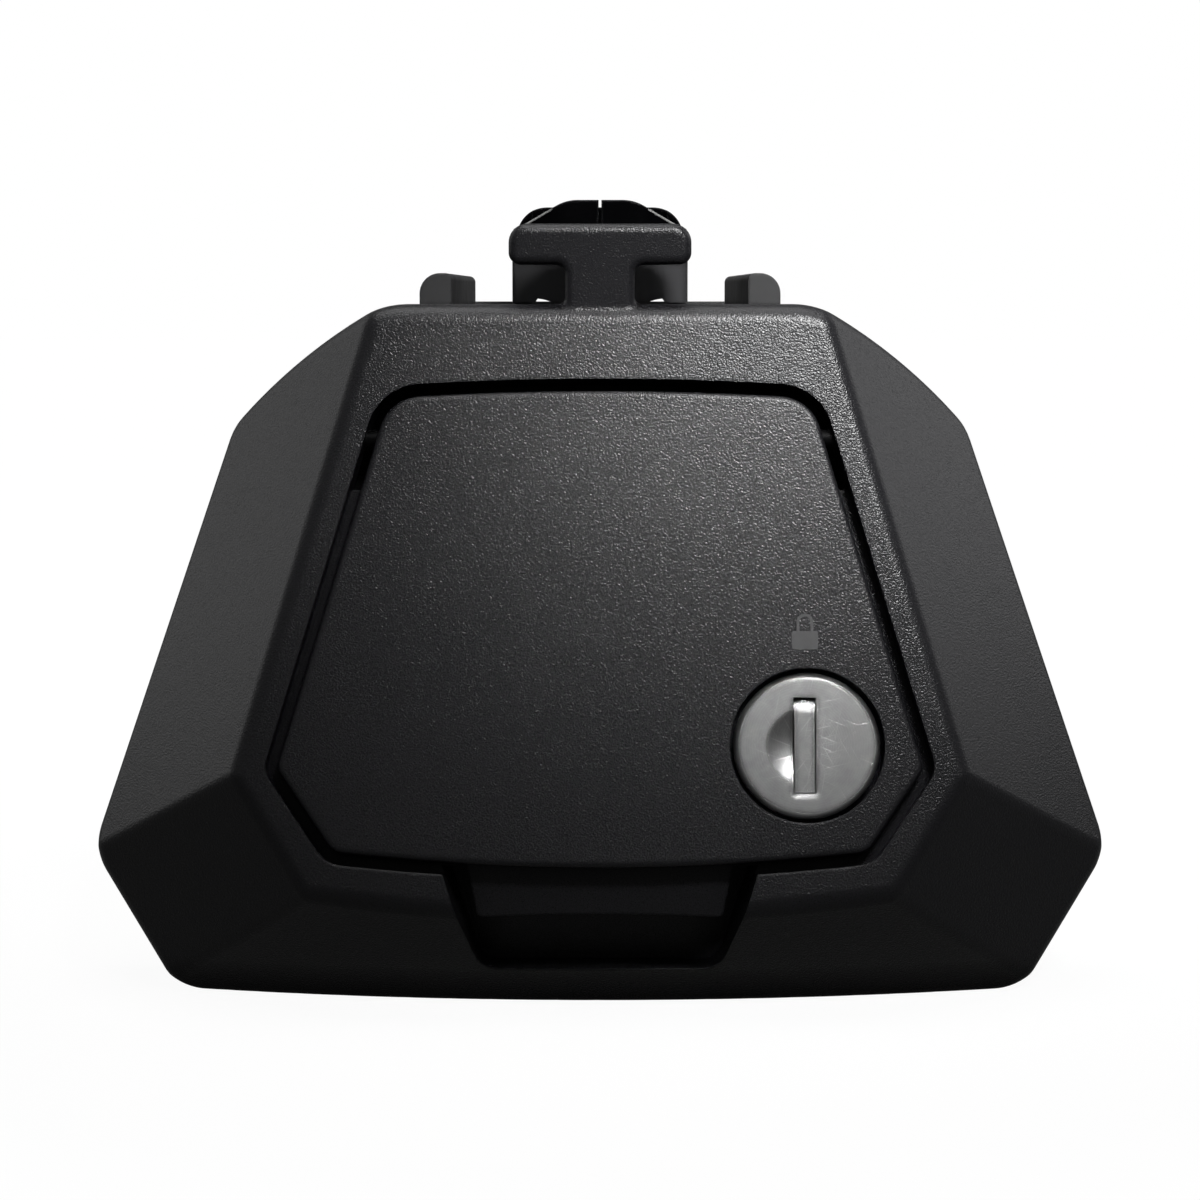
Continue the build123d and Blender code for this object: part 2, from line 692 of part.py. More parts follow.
def lock_cylinder():
    """Lock cylinder: chamfered face, thumb dish, key slot, round body, ring groove and square tail."""
    seat, end, ring, cam, cam_end = lock_depths()
    face = Pos(0, 0, -LOCK_SINK - LOCK_FACE_T / 2) * Cylinder(LOCK_FACE_R, LOCK_FACE_T)
    face = chamfer(face.edges().sort_by(Axis.Z)[-1], LOCK_CHAMFER)
    body = face + Pos(0, 0, -(seat + end) / 2) * Cylinder(LOCK_BODY_R, LOCK_BODY_L)
    groove = Pos(0, 0, -ring - RING_T / 2) * (Cylinder(LOCK_BODY_R + 1, RING_T) - Cylinder(LOCK_BODY_R - RING_BITE, RING_T))
    body -= groove
    body += Pos(0, 0, -end - TAIL_L / 2) * Box(2 * TAIL_HALF, 2 * TAIL_HALF, TAIL_L)
    ball = (DISH_R**2 + DISH_DEPTH**2) / (2 * DISH_DEPTH)
    dish = Pos(SLOT_X, 0, -LOCK_SINK + ball - DISH_DEPTH) * Sphere(ball)
    dish &= block((-LOCK_FACE_R, SLOT_X), (-LOCK_FACE_R, LOCK_FACE_R), (-LOCK_FACE_T, 1))
    body -= dish
    body -= Pos(SLOT_X, 0, -LOCK_SINK - SLOT_DEPTH / 2) * Box(SLOT_W, SLOT_H, SLOT_DEPTH)
    up, out = shutter_axis()
    body -= rod_x(SHUTTER_PIN_R, SHUTTER_PIN_L, up, out, x=SLOT_X)
    body -= Pos(0, 0, -cam_end + CAM_SCREW_L / 2) * Cylinder(CAM_SCREW_R, CAM_SCREW_L)
    return lock_frame() * body


def key_shutter():
    """Spring flap that closes the key slot, hung on a pin at its top."""
    half_w = SLOT_W / 2 - SHUTTER_GAP
    up, out = shutter_axis()
    foot = -SLOT_H / 2 + SHUTTER_GAP
    face = -(LOCK_SINK + SHUTTER_SINK)
    leaf = block((SLOT_X - half_w, SLOT_X + half_w), (foot, up), (face - SHUTTER_T, face))
    leaf += rod_x(SHUTTER_T, 2 * half_w, up, face - SHUTTER_T, x=SLOT_X)
    leaf -= rod_x(SHUTTER_PIN_R + SHUTTER_PIN_PLAY, 2 * SLOT_W, up, out, x=SLOT_X)
    return lock_frame() * leaf


def shutter_pin():
    """Steel pin pressed into the lock across the key slot."""
    up, out = shutter_axis()
    return lock_frame() * rod_x(SHUTTER_PIN_R, SHUTTER_PIN_L, up, out, x=SLOT_X)


def lock_ring():
    """Open retaining ring in the groove behind the flap's socket."""
    seat, end, ring, cam, cam_end = lock_depths()
    inner = LOCK_BODY_R - RING_BITE
    body = Cylinder(RING_R, RING_T) - Cylinder(inner, RING_T)
    body -= Pos(0, -RING_R, 0) * Box(1.3 * inner, 2 * RING_R, RING_T)
    return lock_frame() * Pos(0, 0, -ring - RING_T / 2) * body


def lock_cam():
    """Locking tongue on the square tail, pointing up when the flap is free."""
    seat, end, ring, cam, cam_end = lock_depths()
    plate = Circle(CAM_HUB_R) + Pos(0, CAM_REACH / 2) * Rectangle(2 * CAM_HALF, CAM_REACH)
    plate -= Rectangle(2 * TAIL_HALF, 2 * TAIL_HALF)
    body = extrude(plate, amount=-CAM_T)
    tip = body.edges().filter_by(Axis.Z).group_by(Axis.Y)[-1]
    body = fillet(tip, CAM_HALF * 0.6)
    return lock_frame() * Pos(0, 0, -cam) * body


def cam_screw():
    """Pan screw that holds the tongue on the lock's tail."""
    seat, end, ring, cam, cam_end = lock_depths()
    head = Pos(0, 0, -cam_end - CAM_SCREW_HEAD_T / 2) * Cylinder(CAM_SCREW_HEAD_R, CAM_SCREW_HEAD_T)
    head = fillet(head.edges().sort_by(Axis.Z)[0], 0.7)
    shank = Pos(0, 0, -cam_end + CAM_SCREW_L / 2) * Cylinder(CAM_SCREW_R, CAM_SCREW_L)
    return lock_frame() * (head + shank)


def strap_legs(thick, front_top, rear_top):
    """U-shaped strap section in Y and Z, around the rail's lower half."""
    ring = Circle(STRAP_R + thick / 2) - Circle(STRAP_R - thick / 2)
    lower = Pos(0, -RAIL_R) * Rectangle(4 * RAIL_R, 2 * RAIL_R)
    section = Pos(RAIL_Y, RAIL_Z) * (ring & lower)
    for side, top in ((-1, front_top), (1, rear_top)):
        section += Pos(RAIL_Y + side * STRAP_R, (RAIL_Z + top) / 2) * Rectangle(thick, top - RAIL_Z)
    return section


def strap_band():
    """Spring steel strap: slotted front end, U around the rail, rolled eye at the rear."""
    section = strap_legs(BAND_T, BAND_TOP_Z, ANCHOR_Z)
    section += Pos(ANCHOR_Y, ANCHOR_Z) * (Circle(EYE_R + BAND_T / 2) - Circle(EYE_R - BAND_T / 2))
    section -= Pos(ANCHOR_Y, ANCHOR_Z) * Circle(EYE_R - BAND_T / 2)
    body = extrude_x(section, BAND_W / 2)
    front = RAIL_Y - STRAP_R
    body -= block((-BAND_SLOT_HALF, BAND_SLOT_HALF), (front - 2, front + 2), (BAND_SLOT_FOOT_Z, BAND_SLOT_TOP_Z))
    corners = [e for e in body.edges().filter_by(Axis.Y) if e.center().Z > BAND_TOP_Z - 0.1]
    return fillet(corners, BAND_CORNER_R)


def strap_sleeve():
    """Rubber sleeve moulded around the strap where it meets the rail."""
    top = RAIL_Z + SLEEVE_RISE
    body = extrude_x(strap_legs(SLEEVE_T, top, top), SLEEVE_W / 2)
    core = extrude_x(strap_legs(BAND_T, BAND_TOP_Z, ANCHOR_Z), BAND_W / 2)
    return body - core


def clip(pin_r):
    """Open retaining clip in a pin's groove, lying across the rail direction."""
    body = Cylinder(pin_r + CLIP_OUT, CLIP_T) - Cylinder(pin_r - CLIP_BITE, CLIP_T)
    body -= Pos(0, -pin_r - CLIP_OUT, 0) * Box(1.4 * (pin_r - CLIP_BITE), 2 * (pin_r + CLIP_OUT), CLIP_T)
    return Rot(0, 90, 0) * Rot(0, 0, 90) * body


def grooved_pin(radius, length, clip_x, y, z):
    """Steel pin across the foot with a clip groove near each end."""
    body = rod_x(radius, length, y, z)
    groove = Pos(clip_x, y, z) * Rot(0, 90, 0) * (Cylinder(radius + 1, CLIP_T) - Cylinder(radius - CLIP_BITE, CLIP_T))
    return body - both_sides(groove)


def anchor_clip_x():
    """Where the anchor pin's clips sit, outside the saddle's cheeks."""
    return POCKET_HALF + CHEEK_T + CLIP_GAP + CLIP_T / 2


def pivot_clip_x():
    """Where the pivot pin's clips sit, outside the saddle's core."""
    return CORE_HALF + CLIP_GAP + CLIP_T / 2


def anchor_pin():
    """Steel pin through the strap's rolled eye."""
    return grooved_pin(ANCHOR_PIN_R, ANCHOR_PIN_L, anchor_clip_x(), ANCHOR_Y, ANCHOR_Z)


def anchor_clips():
    """Two clips that keep the anchor pin in."""
    return both_sides(Pos(anchor_clip_x(), ANCHOR_Y, ANCHOR_Z) * clip(ANCHOR_PIN_R))


def pivot_pin():
    """Steel pin that carries the lever in the bracket's legs."""
    return grooved_pin(PIVOT_R, PIVOT_L, pivot_clip_x(), PIVOT_Y, PIVOT_Z)


def pivot_clips():
    """Two clips that keep the pivot pin in."""
    return both_sides(Pos(pivot_clip_x(), PIVOT_Y, PIVOT_Z) * clip(PIVOT_R))


def rail_pad():
    """Rubber pad between saddle and rail: grooved arc with two locating studs."""
    ring = Circle(PAD_R) - Circle(RAIL_R)
    half = math.radians(PAD_SPAN / 2)
    far = 2 * PAD_R
    wedge = make_face(Polyline(
        (0, 0),
        (far * math.sin(half), far * math.cos(half)),
        (-far * math.sin(half), far * math.cos(half)),
        close=True,
    ))
    section = Pos(RAIL_Y, RAIL_Z) * (ring & wedge)
    pitch = PAD_SPAN / (PAD_GROOVES + 1)
    for count in range(PAD_GROOVES):
        turn = math.radians((count + 1) * pitch - PAD_SPAN / 2)
        spot = (RAIL_Y + RAIL_R * math.sin(turn), RAIL_Z + RAIL_R * math.cos(turn))
        section -= Pos(*spot) * Circle(PAD_GROOVE_R)
    body = extrude_x(section, PAD_L / 2)
    top = RAIL_Z + PAD_R
    stud = Pos(PAD_STUD_X, RAIL_Y, top + PAD_STUD_H / 2 - 1) * Cylinder(PAD_STUD_R, PAD_STUD_H + 2)
    return body + both_sides(stud & block((0, SHOE_HALF_X), (-PAD_R, REAR_Y), (RAIL_Z + RAIL_R + 1, top + PAD_STUD_H)))


def rest_section_plan():
    """Plan of a bar rest, closing in towards the rear."""
    front = RIM_Y + REST_END_GAP
    return make_face(Polyline(
        (REST_FRONT_IN, front),
        (REST_OUT, front),
        (REST_OUT, REST_REAR_Y),
        (REST_REAR_IN, REST_REAR_Y),
        close=True,
    ))


def bar_rest(side):
    """Rubber bar rest: upright ear on a tongue in the platform's groove."""
    ear = Pos(0, 0, PLATFORM_Z) * extrude(rest_section_plan(), amount=REST_TOP_Z - PLATFORM_Z)
    top = ear.edges().group_by(Axis.Z)[-1].filter_by(lambda e: e.length > REST_OUT)
    ear = fillet(top.sort_by(Axis.X)[-1], REST_CORNER_R)
    top = ear.edges().group_by(Axis.Z)[-1].filter_by(lambda e: e.length > REST_OUT)
    ear = fillet(top.sort_by(Axis.X)[0], REST_INNER_R)
    ear += rest_tongue(0)
    return ear if side > 0 else mirror(ear, about=Plane.YZ)


def rest_tongue(extra):
    """Tongue of a bar rest, or its groove when given extra height."""
    middle = (REST_FRONT_IN + REST_OUT) / 2
    x = (middle - REST_TONGUE_W / 2, middle + REST_TONGUE_W / 2)
    y = (RIM_Y + REST_END_GAP + 2, REST_REAR_Y - 2)
    return block(x, y, (PLATFORM_Z - REST_TONGUE_H, PLATFORM_Z + extra))


def bar_rest_left():
    """Bar rest on the left, seen from the front."""
    return bar_rest(-1)


def bar_rest_right():
    """Bar rest on the right, seen from the front."""
    return bar_rest(1)


def bar_seat():
    """Raised land between the rests, behind the bracket, that the bar's underside rests on."""
    half = REST_REAR_IN - SEAT_GAP
    y = (CAVITY_REAR_Y + SEAT_GAP, REST_REAR_Y)
    return block((-half, half), y, (PLATFORM_Z - 1, PLATFORM_Z + SEAT_RISE))


def plate_ribs(plate):
    """Rim and level ribs on the rear of the back plate, with room for the screw heads."""
    ribs = plate - offset(plate, -PLATE_RIB_T)
    for z in PLATE_RIB_Z:
        ribs += plate & Pos(0, z) * Rectangle(2 * WAIST_HALF, PLATE_RIB_T)
    body = extrude_y(ribs, RIM_Y - PLATE_T / 2, RIM_Y + PLATE_RIB_H)
    for x, z in SCREW_SPOTS:
        body -= both_sides(rod_y(SCREW_HEAD_R + PLATE_GAP, RIM_Y, RIM_Y + 2 * PLATE_RIB_H, x, z))
    return body


def saddle():
    """Structural saddle: back plate, platform, core, rail shoe, ribs, strap cheeks and nut boss."""
    plate = offset(shield_outline(), -SHIELD_WALL - PLATE_GAP)
    plate &= Pos(0, PLATE_FOOT_Z + PLATFORM_Z / 2) * Rectangle(3 * WAIST_HALF, PLATFORM_Z)
    body = extrude_y(plate, RIM_Y - PLATE_T, RIM_Y)
    deck = block((-PLATFORM_HALF, PLATFORM_HALF), (RIM_Y, REAR_Y), (PLATFORM_Z - PLATFORM_T, PLATFORM_Z))
    deck = fillet(deck.edges().filter_by(Axis.Z).group_by(Axis.Y)[-1], DECK_CORNER_R)
    wall = PLATFORM_HALF - REAR_WALL_IN
    rear = block((-wall, wall), (REAR_Y - REAR_WALL_T, REAR_Y), (REAR_WALL_Z, PLATFORM_Z - PLATFORM_T / 2))
    rear = fillet(rear.edges().filter_by(Axis.Y).group_by(Axis.Z)[0], REAR_WALL_R)
    coring = GridLocations(CORING_PITCH, CORING_PITCH, *CORING_GRID) * RectangleRounded(CORING_W, CORING_H, CORING_R)
    rear -= extrude_y(Pos(0, CORING_Z) * Sketch(children=coring), REAR_Y - CORING_DEEP, REAR_Y)
    body += deck + rear + bar_seat() + plate_ribs(plate)
    shoe_foot = RAIL_Z + math.sqrt(PAD_R**2 - SHOE_HALF_Y**2)
    shoe_y = (RAIL_Y - SHOE_HALF_Y, RAIL_Y + SHOE_HALF_Y)
    body += block((-CORE_HALF, CORE_HALF), (RIM_Y, CORE_REAR_Y), (shoe_foot, PLATFORM_Z))
    body += block((-SHOE_HALF_X, SHOE_HALF_X), shoe_y, (shoe_foot, SHOE_TOP_Z))
    for y in RIB_Y:
        rib = (y - RIB_T / 2, y + RIB_T / 2)
        body += pair((CORE_HALF - 1, RIB_OUT), rib, (SHOE_TOP_Z - 1, PLATFORM_Z - PLATFORM_T + 1))
    cheek = make_face(Polyline(
        (CORE_REAR_Y - 1, PLATFORM_Z - 1),
        (REAR_Y - 1, PLATFORM_Z - 1),
        (REAR_Y - 1, REAR_WALL_Z + REAR_WALL_R),
        (ANCHOR_Y + CHEEK_HEEL, ANCHOR_Z),
        (ANCHOR_Y + CHEEK_TOE, CHEEK_FOOT_Z),
        (RAIL_Y + SHOE_HALF_Y - 1, CHEEK_FOOT_Z),
        (CORE_REAR_Y - 1, SHOE_TOP_Z),
        close=True,
    ))
    cheek = extrude(Plane.YZ.offset(POCKET_HALF) * cheek, amount=CHEEK_T)
    body += both_sides(cheek)
    boss = (BOLT_Z - NUT_BOSS_HALF, BOLT_Z + NUT_BOSS_HALF)
    body += block((-NUT_BOSS_HALF, NUT_BOSS_HALF), (NUT_BOSS_FRONT_Y, RIM_Y), boss)

    body -= rod_x(PAD_R, 4 * SHOE_HALF_X, RAIL_Y, RAIL_Z)
    body -= block((-CAVITY_HALF, CAVITY_HALF), (RIM_Y, CAVITY_REAR_Y), (CAVITY_FLOOR_Z, PLATFORM_Z + 1))
    relief = NOSE_HALF + 1
    body -= block((-relief, relief), (RIM_Y, NOSE_RELIEF_Y), (NOSE_RELIEF_Z, CAVITY_FLOOR_Z + 1))
    body -= block((-POCKET_HALF, POCKET_HALF), (RIM_Y - PLATE_T - 1, shoe_y[0]), (0, POCKET_TOP_Z))
    body -= rod_y(BOLT_HOLE_R, NUT_BOSS_FRONT_Y - 1, RIM_Y, 0, BOLT_Z)
    nut = NUT_AF / 2 + NUT_GAP
    body -= block((-nut, nut), (NUT_FRONT_Y, RIM_Y + 1), (BOLT_Z - nut, BOLT_Z + nut))
    slot = SlotCenterToCenter(PIVOT_FLOAT, 2 * (PIVOT_R + PIVOT_PLAY), rotation=90)
    body -= extrude_x(Pos(PIVOT_Y, PIVOT_Z - PIVOT_FLOAT / 2) * slot, CORE_HALF + 1)
    body -= rod_x(ANCHOR_PIN_R, 2 * (POCKET_HALF + CHEEK_T + 1), ANCHOR_Y, ANCHOR_Z)
    stud = Pos(PAD_STUD_X, RAIL_Y, RAIL_Z + PAD_R) * Cylinder(PAD_STUD_R, 2 * PAD_STUD_H)
    body -= both_sides(stud)
    body -= both_sides(rest_tongue(1))
    for x, z in SCREW_SPOTS:
        body -= both_sides(rod_y(SCREW_R, RIM_Y - PLATE_T - 1, RIM_Y + 1, x, z))
    return body


def shield_screws():
    """Four pan screws through the saddle's back plate into the shield's bosses."""
    group = []
    for x, z in SCREW_SPOTS:
        head = rod_y(SCREW_HEAD_R, RIM_Y, RIM_Y + SCREW_HEAD_L, x, z)
        head = fillet(head.edges().sort_by(Axis.Y)[-1], 1.2)
        group.append(both_sides(head + rod_y(SCREW_R, RIM_Y - SCREW_L, RIM_Y + 0.5, x, z)))
    return group[0] + group[1]


def bar_bracket():
    """Folded steel bracket for the bar: domed front flaps, rear flaps and two legs for the pivot pin."""
    mid = BRACKET_HALF - BRACKET_T / 2
    front = BRACKET_FRONT_Y + BRACKET_T / 2
    rear = BRACKET_REAR_Y - BRACKET_T / 2
    path = FilletPolyline(
        (0, rear),
        (mid, rear),
        (mid, front + BRACKET_NOSE_RUN),
        (BRACKET_NOSE_HALF, front),
        (BRACKET_SLIT / 2, front),
        radius=BRACKET_BEND_R,
    )
    plan = trace(path, line_width=BRACKET_T)
    foot = PLATFORM_Z + BRACKET_LIFT
    wall = Pos(0, 0, foot) * extrude(plan, amount=BRACKET_TOP_Z - foot)
    wall = both_sides(wall)
    out = BRACKET_HALF + 1
    dome = make_face(Polyline(
        (BRACKET_TOP_HALF, BRACKET_TOP_Z),
        (BRACKET_BROW_HALF, BRACKET_BROW_Z),
        (out, BRACKET_WALL_Z),
        (out, foot - 1),
        (-out, foot - 1),
        (-out, BRACKET_WALL_Z),
        (-BRACKET_BROW_HALF, BRACKET_BROW_Z),
        (-BRACKET_TOP_HALF, BRACKET_TOP_Z),
        close=True,
    ))
    dome = rounded(dome, [(BRACKET_TOP_HALF, BRACKET_TOP_Z, BRACKET_TOP_R)])
    notch = make_face(Polyline([(x, PLATFORM_Z + rise) for x, rise in BRACKET_NOTCH], close=True))
    dome -= both_sides(notch)
    rear_foot = PLATFORM_Z + BRACKET_REAR_LIFT
    high = BRACKET_TOP_Z - rear_foot
    back = Pos(0, rear_foot + high / 2) * RectangleRounded(2 * BRACKET_HALF, high, BRACKET_REAR_R)
    back += Pos(0, rear_foot + high / 4) * Rectangle(2 * BRACKET_HALF, high / 2)
    side = Pos(0, (foot + BRACKET_WALL_Z) / 2) * Rectangle(2 * out, BRACKET_WALL_Z - foot)
    nose_end = front + BRACKET_NOSE_RUN
    shape = extrude_y(dome, BRACKET_FRONT_Y - 1, nose_end) + extrude_y(side, nose_end, rear - BRACKET_BEND_R)
    shape += extrude_y(back, rear - BRACKET_BEND_R, BRACKET_REAR_Y + 1)
    body = wall & shape
    body += pair((BRACKET_HALF - BRACKET_T, BRACKET_HALF), BRACKET_LEG_Y, (BRACKET_LEG_FOOT_Z, foot + 1))
    return body - rod_x(PIVOT_R, 4 * BRACKET_HALF, PIVOT_Y, PIVOT_Z)


def tension_lever():
    """Steel rocker: hub on the pivot pin, arm up to the bolt, hook nose through the strap's slot."""
    hub = rod_x(LEVER_HUB_R, 2 * LEVER_HUB_HALF, PIVOT_Y, PIVOT_Z)
    arm = (PIVOT_Y - LEVER_ARM_T / 2, PIVOT_Y + LEVER_ARM_T / 2)
    upright = block((-LEVER_ARM_HALF, LEVER_ARM_HALF), arm, (PIVOT_Z, LEVER_TOP_Z))
    upright = fillet(upright.edges().filter_by(Axis.Y).group_by(Axis.Z)[-1], LEVER_ARM_HALF * 0.7)
    nose = block((-NOSE_HALF, NOSE_HALF), (NOSE_TIP_Y, PIVOT_Y), (NOSE_FOOT_Z, NOSE_TOP_Z))
    nose = fillet(nose.edges().filter_by(Axis.X).group_by(Axis.Y)[0].sort_by(Axis.Z)[0], 2)
    tip = block((-NOSE_HALF, NOSE_HALF), (NOSE_TIP_Y, NOSE_TIP_Y + NOSE_TIP_T), (NOSE_TOP_Z - 1, NOSE_TOP_Z + NOSE_TIP_RISE))
    tip = fillet(tip.edges().filter_by(Axis.X).group_by(Axis.Z)[-1], 0.8)
    body = hub + upright + nose + tip
    return body - rod_x(PIVOT_R + PIVOT_PLAY + BUSH_WALL, 4 * LEVER_HUB_HALF, PIVOT_Y, PIVOT_Z)


def lever_bush():
    """Bronze bush pressed into the lever's hub."""
    body = rod_x(PIVOT_R + PIVOT_PLAY + BUSH_WALL, 2 * LEVER_HUB_HALF, PIVOT_Y, PIVOT_Z)
    return body - rod_x(PIVOT_R + PIVOT_PLAY, 4 * LEVER_HUB_HALF, PIVOT_Y, PIVOT_Z)


def tension_bolt():
    """Socket head bolt that pushes the lever back, with a dog point in the thrust shoe."""
    front = BOLT_HEAD_Y - BOLT_HEAD_L
    head = rod_y(BOLT_HEAD_R, front, BOLT_HEAD_Y, 0, BOLT_Z)
    head = chamfer(head.edges().sort_by(Axis.Y)[0], 0.8)
    shank = rod_y(BOLT_R, BOLT_HEAD_Y, BOLT_SHOULDER_Y, 0, BOLT_Z)
    dog = rod_y(BOLT_DOG_R, BOLT_SHOULDER_Y, BOLT_SHOULDER_Y + BOLT_DOG_L, 0, BOLT_Z)
    key = RegularPolygon(BOLT_SOCKET_AF / 2, 6, major_radius=False)
    socket = extrude_y(Pos(0, BOLT_Z) * key, front - 1, front + BOLT_SOCKET_DEPTH)
    return head + shank + dog - socket


def thrust_shoe():
    """Domed steel shoe that turns on the bolt's point and bears on the lever."""
    dome_y = THRUST_REAR_Y - THRUST_R
    body = rod_y(THRUST_R, THRUST_FRONT_Y, dome_y, 0, BOLT_Z) + Pos(0, dome_y, BOLT_Z) * Sphere(THRUST_R)
    body &= block((-THRUST_R, THRUST_R), (THRUST_FRONT_Y, THRUST_REAR_Y), (BOLT_Z - THRUST_R, BOLT_Z + THRUST_R))
    return body - rod_y(BOLT_DOG_R + BOLT_PLAY, THRUST_FRONT_Y - 1, BOLT_SHOULDER_Y + BOLT_DOG_L + THRUST_GAP, 0, BOLT_Z)


def tension_nut():
    """Square nut held in the saddle's boss."""
    half = NUT_AF / 2
    body = block((-half, half), (NUT_FRONT_Y, RIM_Y), (BOLT_Z - half, BOLT_Z + half))
    return body - rod_y(BOLT_R + BOLT_PLAY, NUT_FRONT_Y - 1, RIM_Y + 1, 0, BOLT_Z)


PIECES = (
    front_shield,
    saddle,
    shield_screws,
    rail_pad,
    strap_band,
    strap_sleeve,
    anchor_pin,
    anchor_clips,
    bar_bracket,
    bar_rest_left,
    bar_rest_right,
    pivot_pin,
    pivot_clips,
    tension_lever,
    lever_bush,
    tension_nut,
    tension_bolt,
    thrust_shoe,
    lid_panel,
    lid_hinge_pins,
    lock_cylinder,
    lock_ring,
    lock_cam,
    cam_screw,
    key_shutter,
    shutter_pin,
)

if __name__ == "__main__":
    os.makedirs("parts", exist_ok=True)
    for piece in PIECES:
        export_step(piece(), f"parts/{piece.__name__}.step")
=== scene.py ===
import json
import math

import bmesh
import bpy
from mathutils import Matrix, Vector


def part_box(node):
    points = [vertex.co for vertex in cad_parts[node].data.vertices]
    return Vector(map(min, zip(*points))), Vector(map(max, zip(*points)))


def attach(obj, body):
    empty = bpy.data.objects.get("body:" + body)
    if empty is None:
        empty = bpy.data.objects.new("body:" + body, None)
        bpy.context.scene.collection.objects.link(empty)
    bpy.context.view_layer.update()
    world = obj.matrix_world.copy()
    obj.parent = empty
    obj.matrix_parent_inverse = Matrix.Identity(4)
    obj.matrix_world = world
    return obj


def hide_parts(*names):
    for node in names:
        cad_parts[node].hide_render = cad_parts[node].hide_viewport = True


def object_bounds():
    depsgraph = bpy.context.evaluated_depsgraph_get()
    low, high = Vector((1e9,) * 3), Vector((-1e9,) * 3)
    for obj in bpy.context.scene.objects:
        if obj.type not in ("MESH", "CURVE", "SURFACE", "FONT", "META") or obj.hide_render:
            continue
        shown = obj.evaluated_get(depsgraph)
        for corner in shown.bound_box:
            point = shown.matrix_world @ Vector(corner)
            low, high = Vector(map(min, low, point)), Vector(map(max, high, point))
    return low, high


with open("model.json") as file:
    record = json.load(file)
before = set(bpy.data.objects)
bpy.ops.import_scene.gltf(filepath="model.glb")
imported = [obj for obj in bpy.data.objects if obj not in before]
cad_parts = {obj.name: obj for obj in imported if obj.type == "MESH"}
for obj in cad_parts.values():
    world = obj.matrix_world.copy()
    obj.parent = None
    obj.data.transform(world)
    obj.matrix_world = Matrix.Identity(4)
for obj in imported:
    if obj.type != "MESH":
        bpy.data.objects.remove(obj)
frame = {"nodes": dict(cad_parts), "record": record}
cad_low, cad_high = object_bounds()


# Saddle: the load-bearing inner moulding that every other piece is pinned, screwed or slotted into.
# Black nylon filled with short glass fibre, injection moulded in one shot: a satin skin with faint
# flow streaks along the rail and slightly rubbed, paler edges.
MM = 0.001
EDGE_RAYS = 2
EDGE_TURN = (0.985, 0.86)
NYLON_DARK = (0.024, 0.024, 0.025)
NYLON_PALE = (0.042, 0.042, 0.043)
NYLON_RUBBED = (0.075, 0.075, 0.076)
NYLON_ROUGH = (0.42, 0.62)
NYLON_GLOSS = 0.25
NYLON_EDGE = 0.5 * MM
FLOW_CELLS = (90.0, 420.0, 420.0)
SPECK_CELLS = 2400.0
SPECK_DEPTH = 0.035 * MM
RUB_CELLS = 260.0


def plug(tree, socket, value):
    """Gives one input of a node a plain value, or the socket that feeds it."""
    if isinstance(value, bpy.types.NodeSocket):
        tree.links.new(value, socket)
    else:
        socket.default_value = value


def feed(tree, node, **inputs):
    """Gives a node's inputs their values or sockets, by name."""
    for name, value in inputs.items():
        plug(tree, node.inputs[name.replace("_", " ")], value)


def add(tree, kind, settings=None, **inputs):
    """Adds a node with its settings and inputs; a short kind is one of the shader nodes."""
    made = tree.nodes.new(kind if "Node" in kind else "ShaderNode" + kind)
    for name, value in (settings or {}).items():
        setattr(made, name, value)
    feed(tree, made, **inputs)
    return made


def new_finish(name):
    """A new node material: the material, its tree, its shader and the place on the piece."""
    material = bpy.data.materials.new(name)
    material.use_nodes = True
    tree = material.node_tree
    tree.nodes.clear()
    shader = add(tree, "BsdfPrincipled")
    add(tree, "OutputMaterial", Surface=shader.outputs["BSDF"])
    return material, tree, shader, add(tree, "TexCoord").outputs["Object"]


def noise(tree, place, cells, detail=2.0, rough=0.5):
    """Cloudy noise from 0 to 1, in cells to the metre."""
    return add(tree, "TexNoise", Vector=place, Scale=cells, Detail=detail, Roughness=rough).outputs["Fac"]


def streaks(tree, place, cells, detail, rough=0.5, turn=(0, 0, 0)):
    """Noise with its own count of cells to the metre along each axis, after a turn in degrees."""
    turned = [math.radians(angle) for angle in turn]
    size = [1 / count for count in cells]
    lanes = add(tree, "Mapping", {"vector_type": "TEXTURE"}, Vector=place, Rotation=turned, Scale=size)
    return noise(tree, lanes.outputs["Vector"], 1.0, detail, rough)


def span(tree, value, start, end, low=0.0, high=1.0):
    """The value's range from start to end, spread over low to high and cut off there."""
    made = add(tree, "MapRange", Value=value, From_Min=start, From_Max=end, To_Min=low, To_Max=high)
    return made.outputs["Result"]


def tones(tree, value, *stops):
    """Colours along a ramp; a stop is its place from 0 to 1 and its colour."""
    ramp = add(tree, "ValToRGB", Fac=value)
    elements = ramp.color_ramp.elements
    while len(elements) < len(stops):
        elements.new(1.0)
    for element, (place, colour) in zip(elements, stops):
        element.position = place
        element.color = (*colour, 1.0)
    return ramp.outputs["Color"]


def combine(tree, how, *values, kind="Math"):
    """One number out of the given numbers or vectors, by the named sum."""
    made = add(tree, kind, {"operation": how})
    for socket, value in zip(made.inputs, values):
        plug(tree, socket, value)
    return made.outputs["Value"]


def rounded_edges(tree, radius):
    """A normal that softens sharp edges by the radius, and a mask that is 1 along them."""
    soft = add(tree, "Bevel", {"samples": EDGE_RAYS}, Radius=radius).outputs["Normal"]
    true = add(tree, "NewGeometry").outputs["Normal"]
    return soft, span(tree, combine(tree, "DOT_PRODUCT", soft, true, kind="VectorMath"), *EDGE_TURN)


def relief(tree, shader, height, depth, normal=None):
    """Raises the surface by a height from 0 to 1, the depth in metres, over a softened normal."""
    made = add(tree, "Bump", Height=height, Distance=depth, Strength=1.0)
    if normal:
        feed(tree, made, Normal=normal)
    feed(tree, shader, Normal=made.outputs["Normal"])


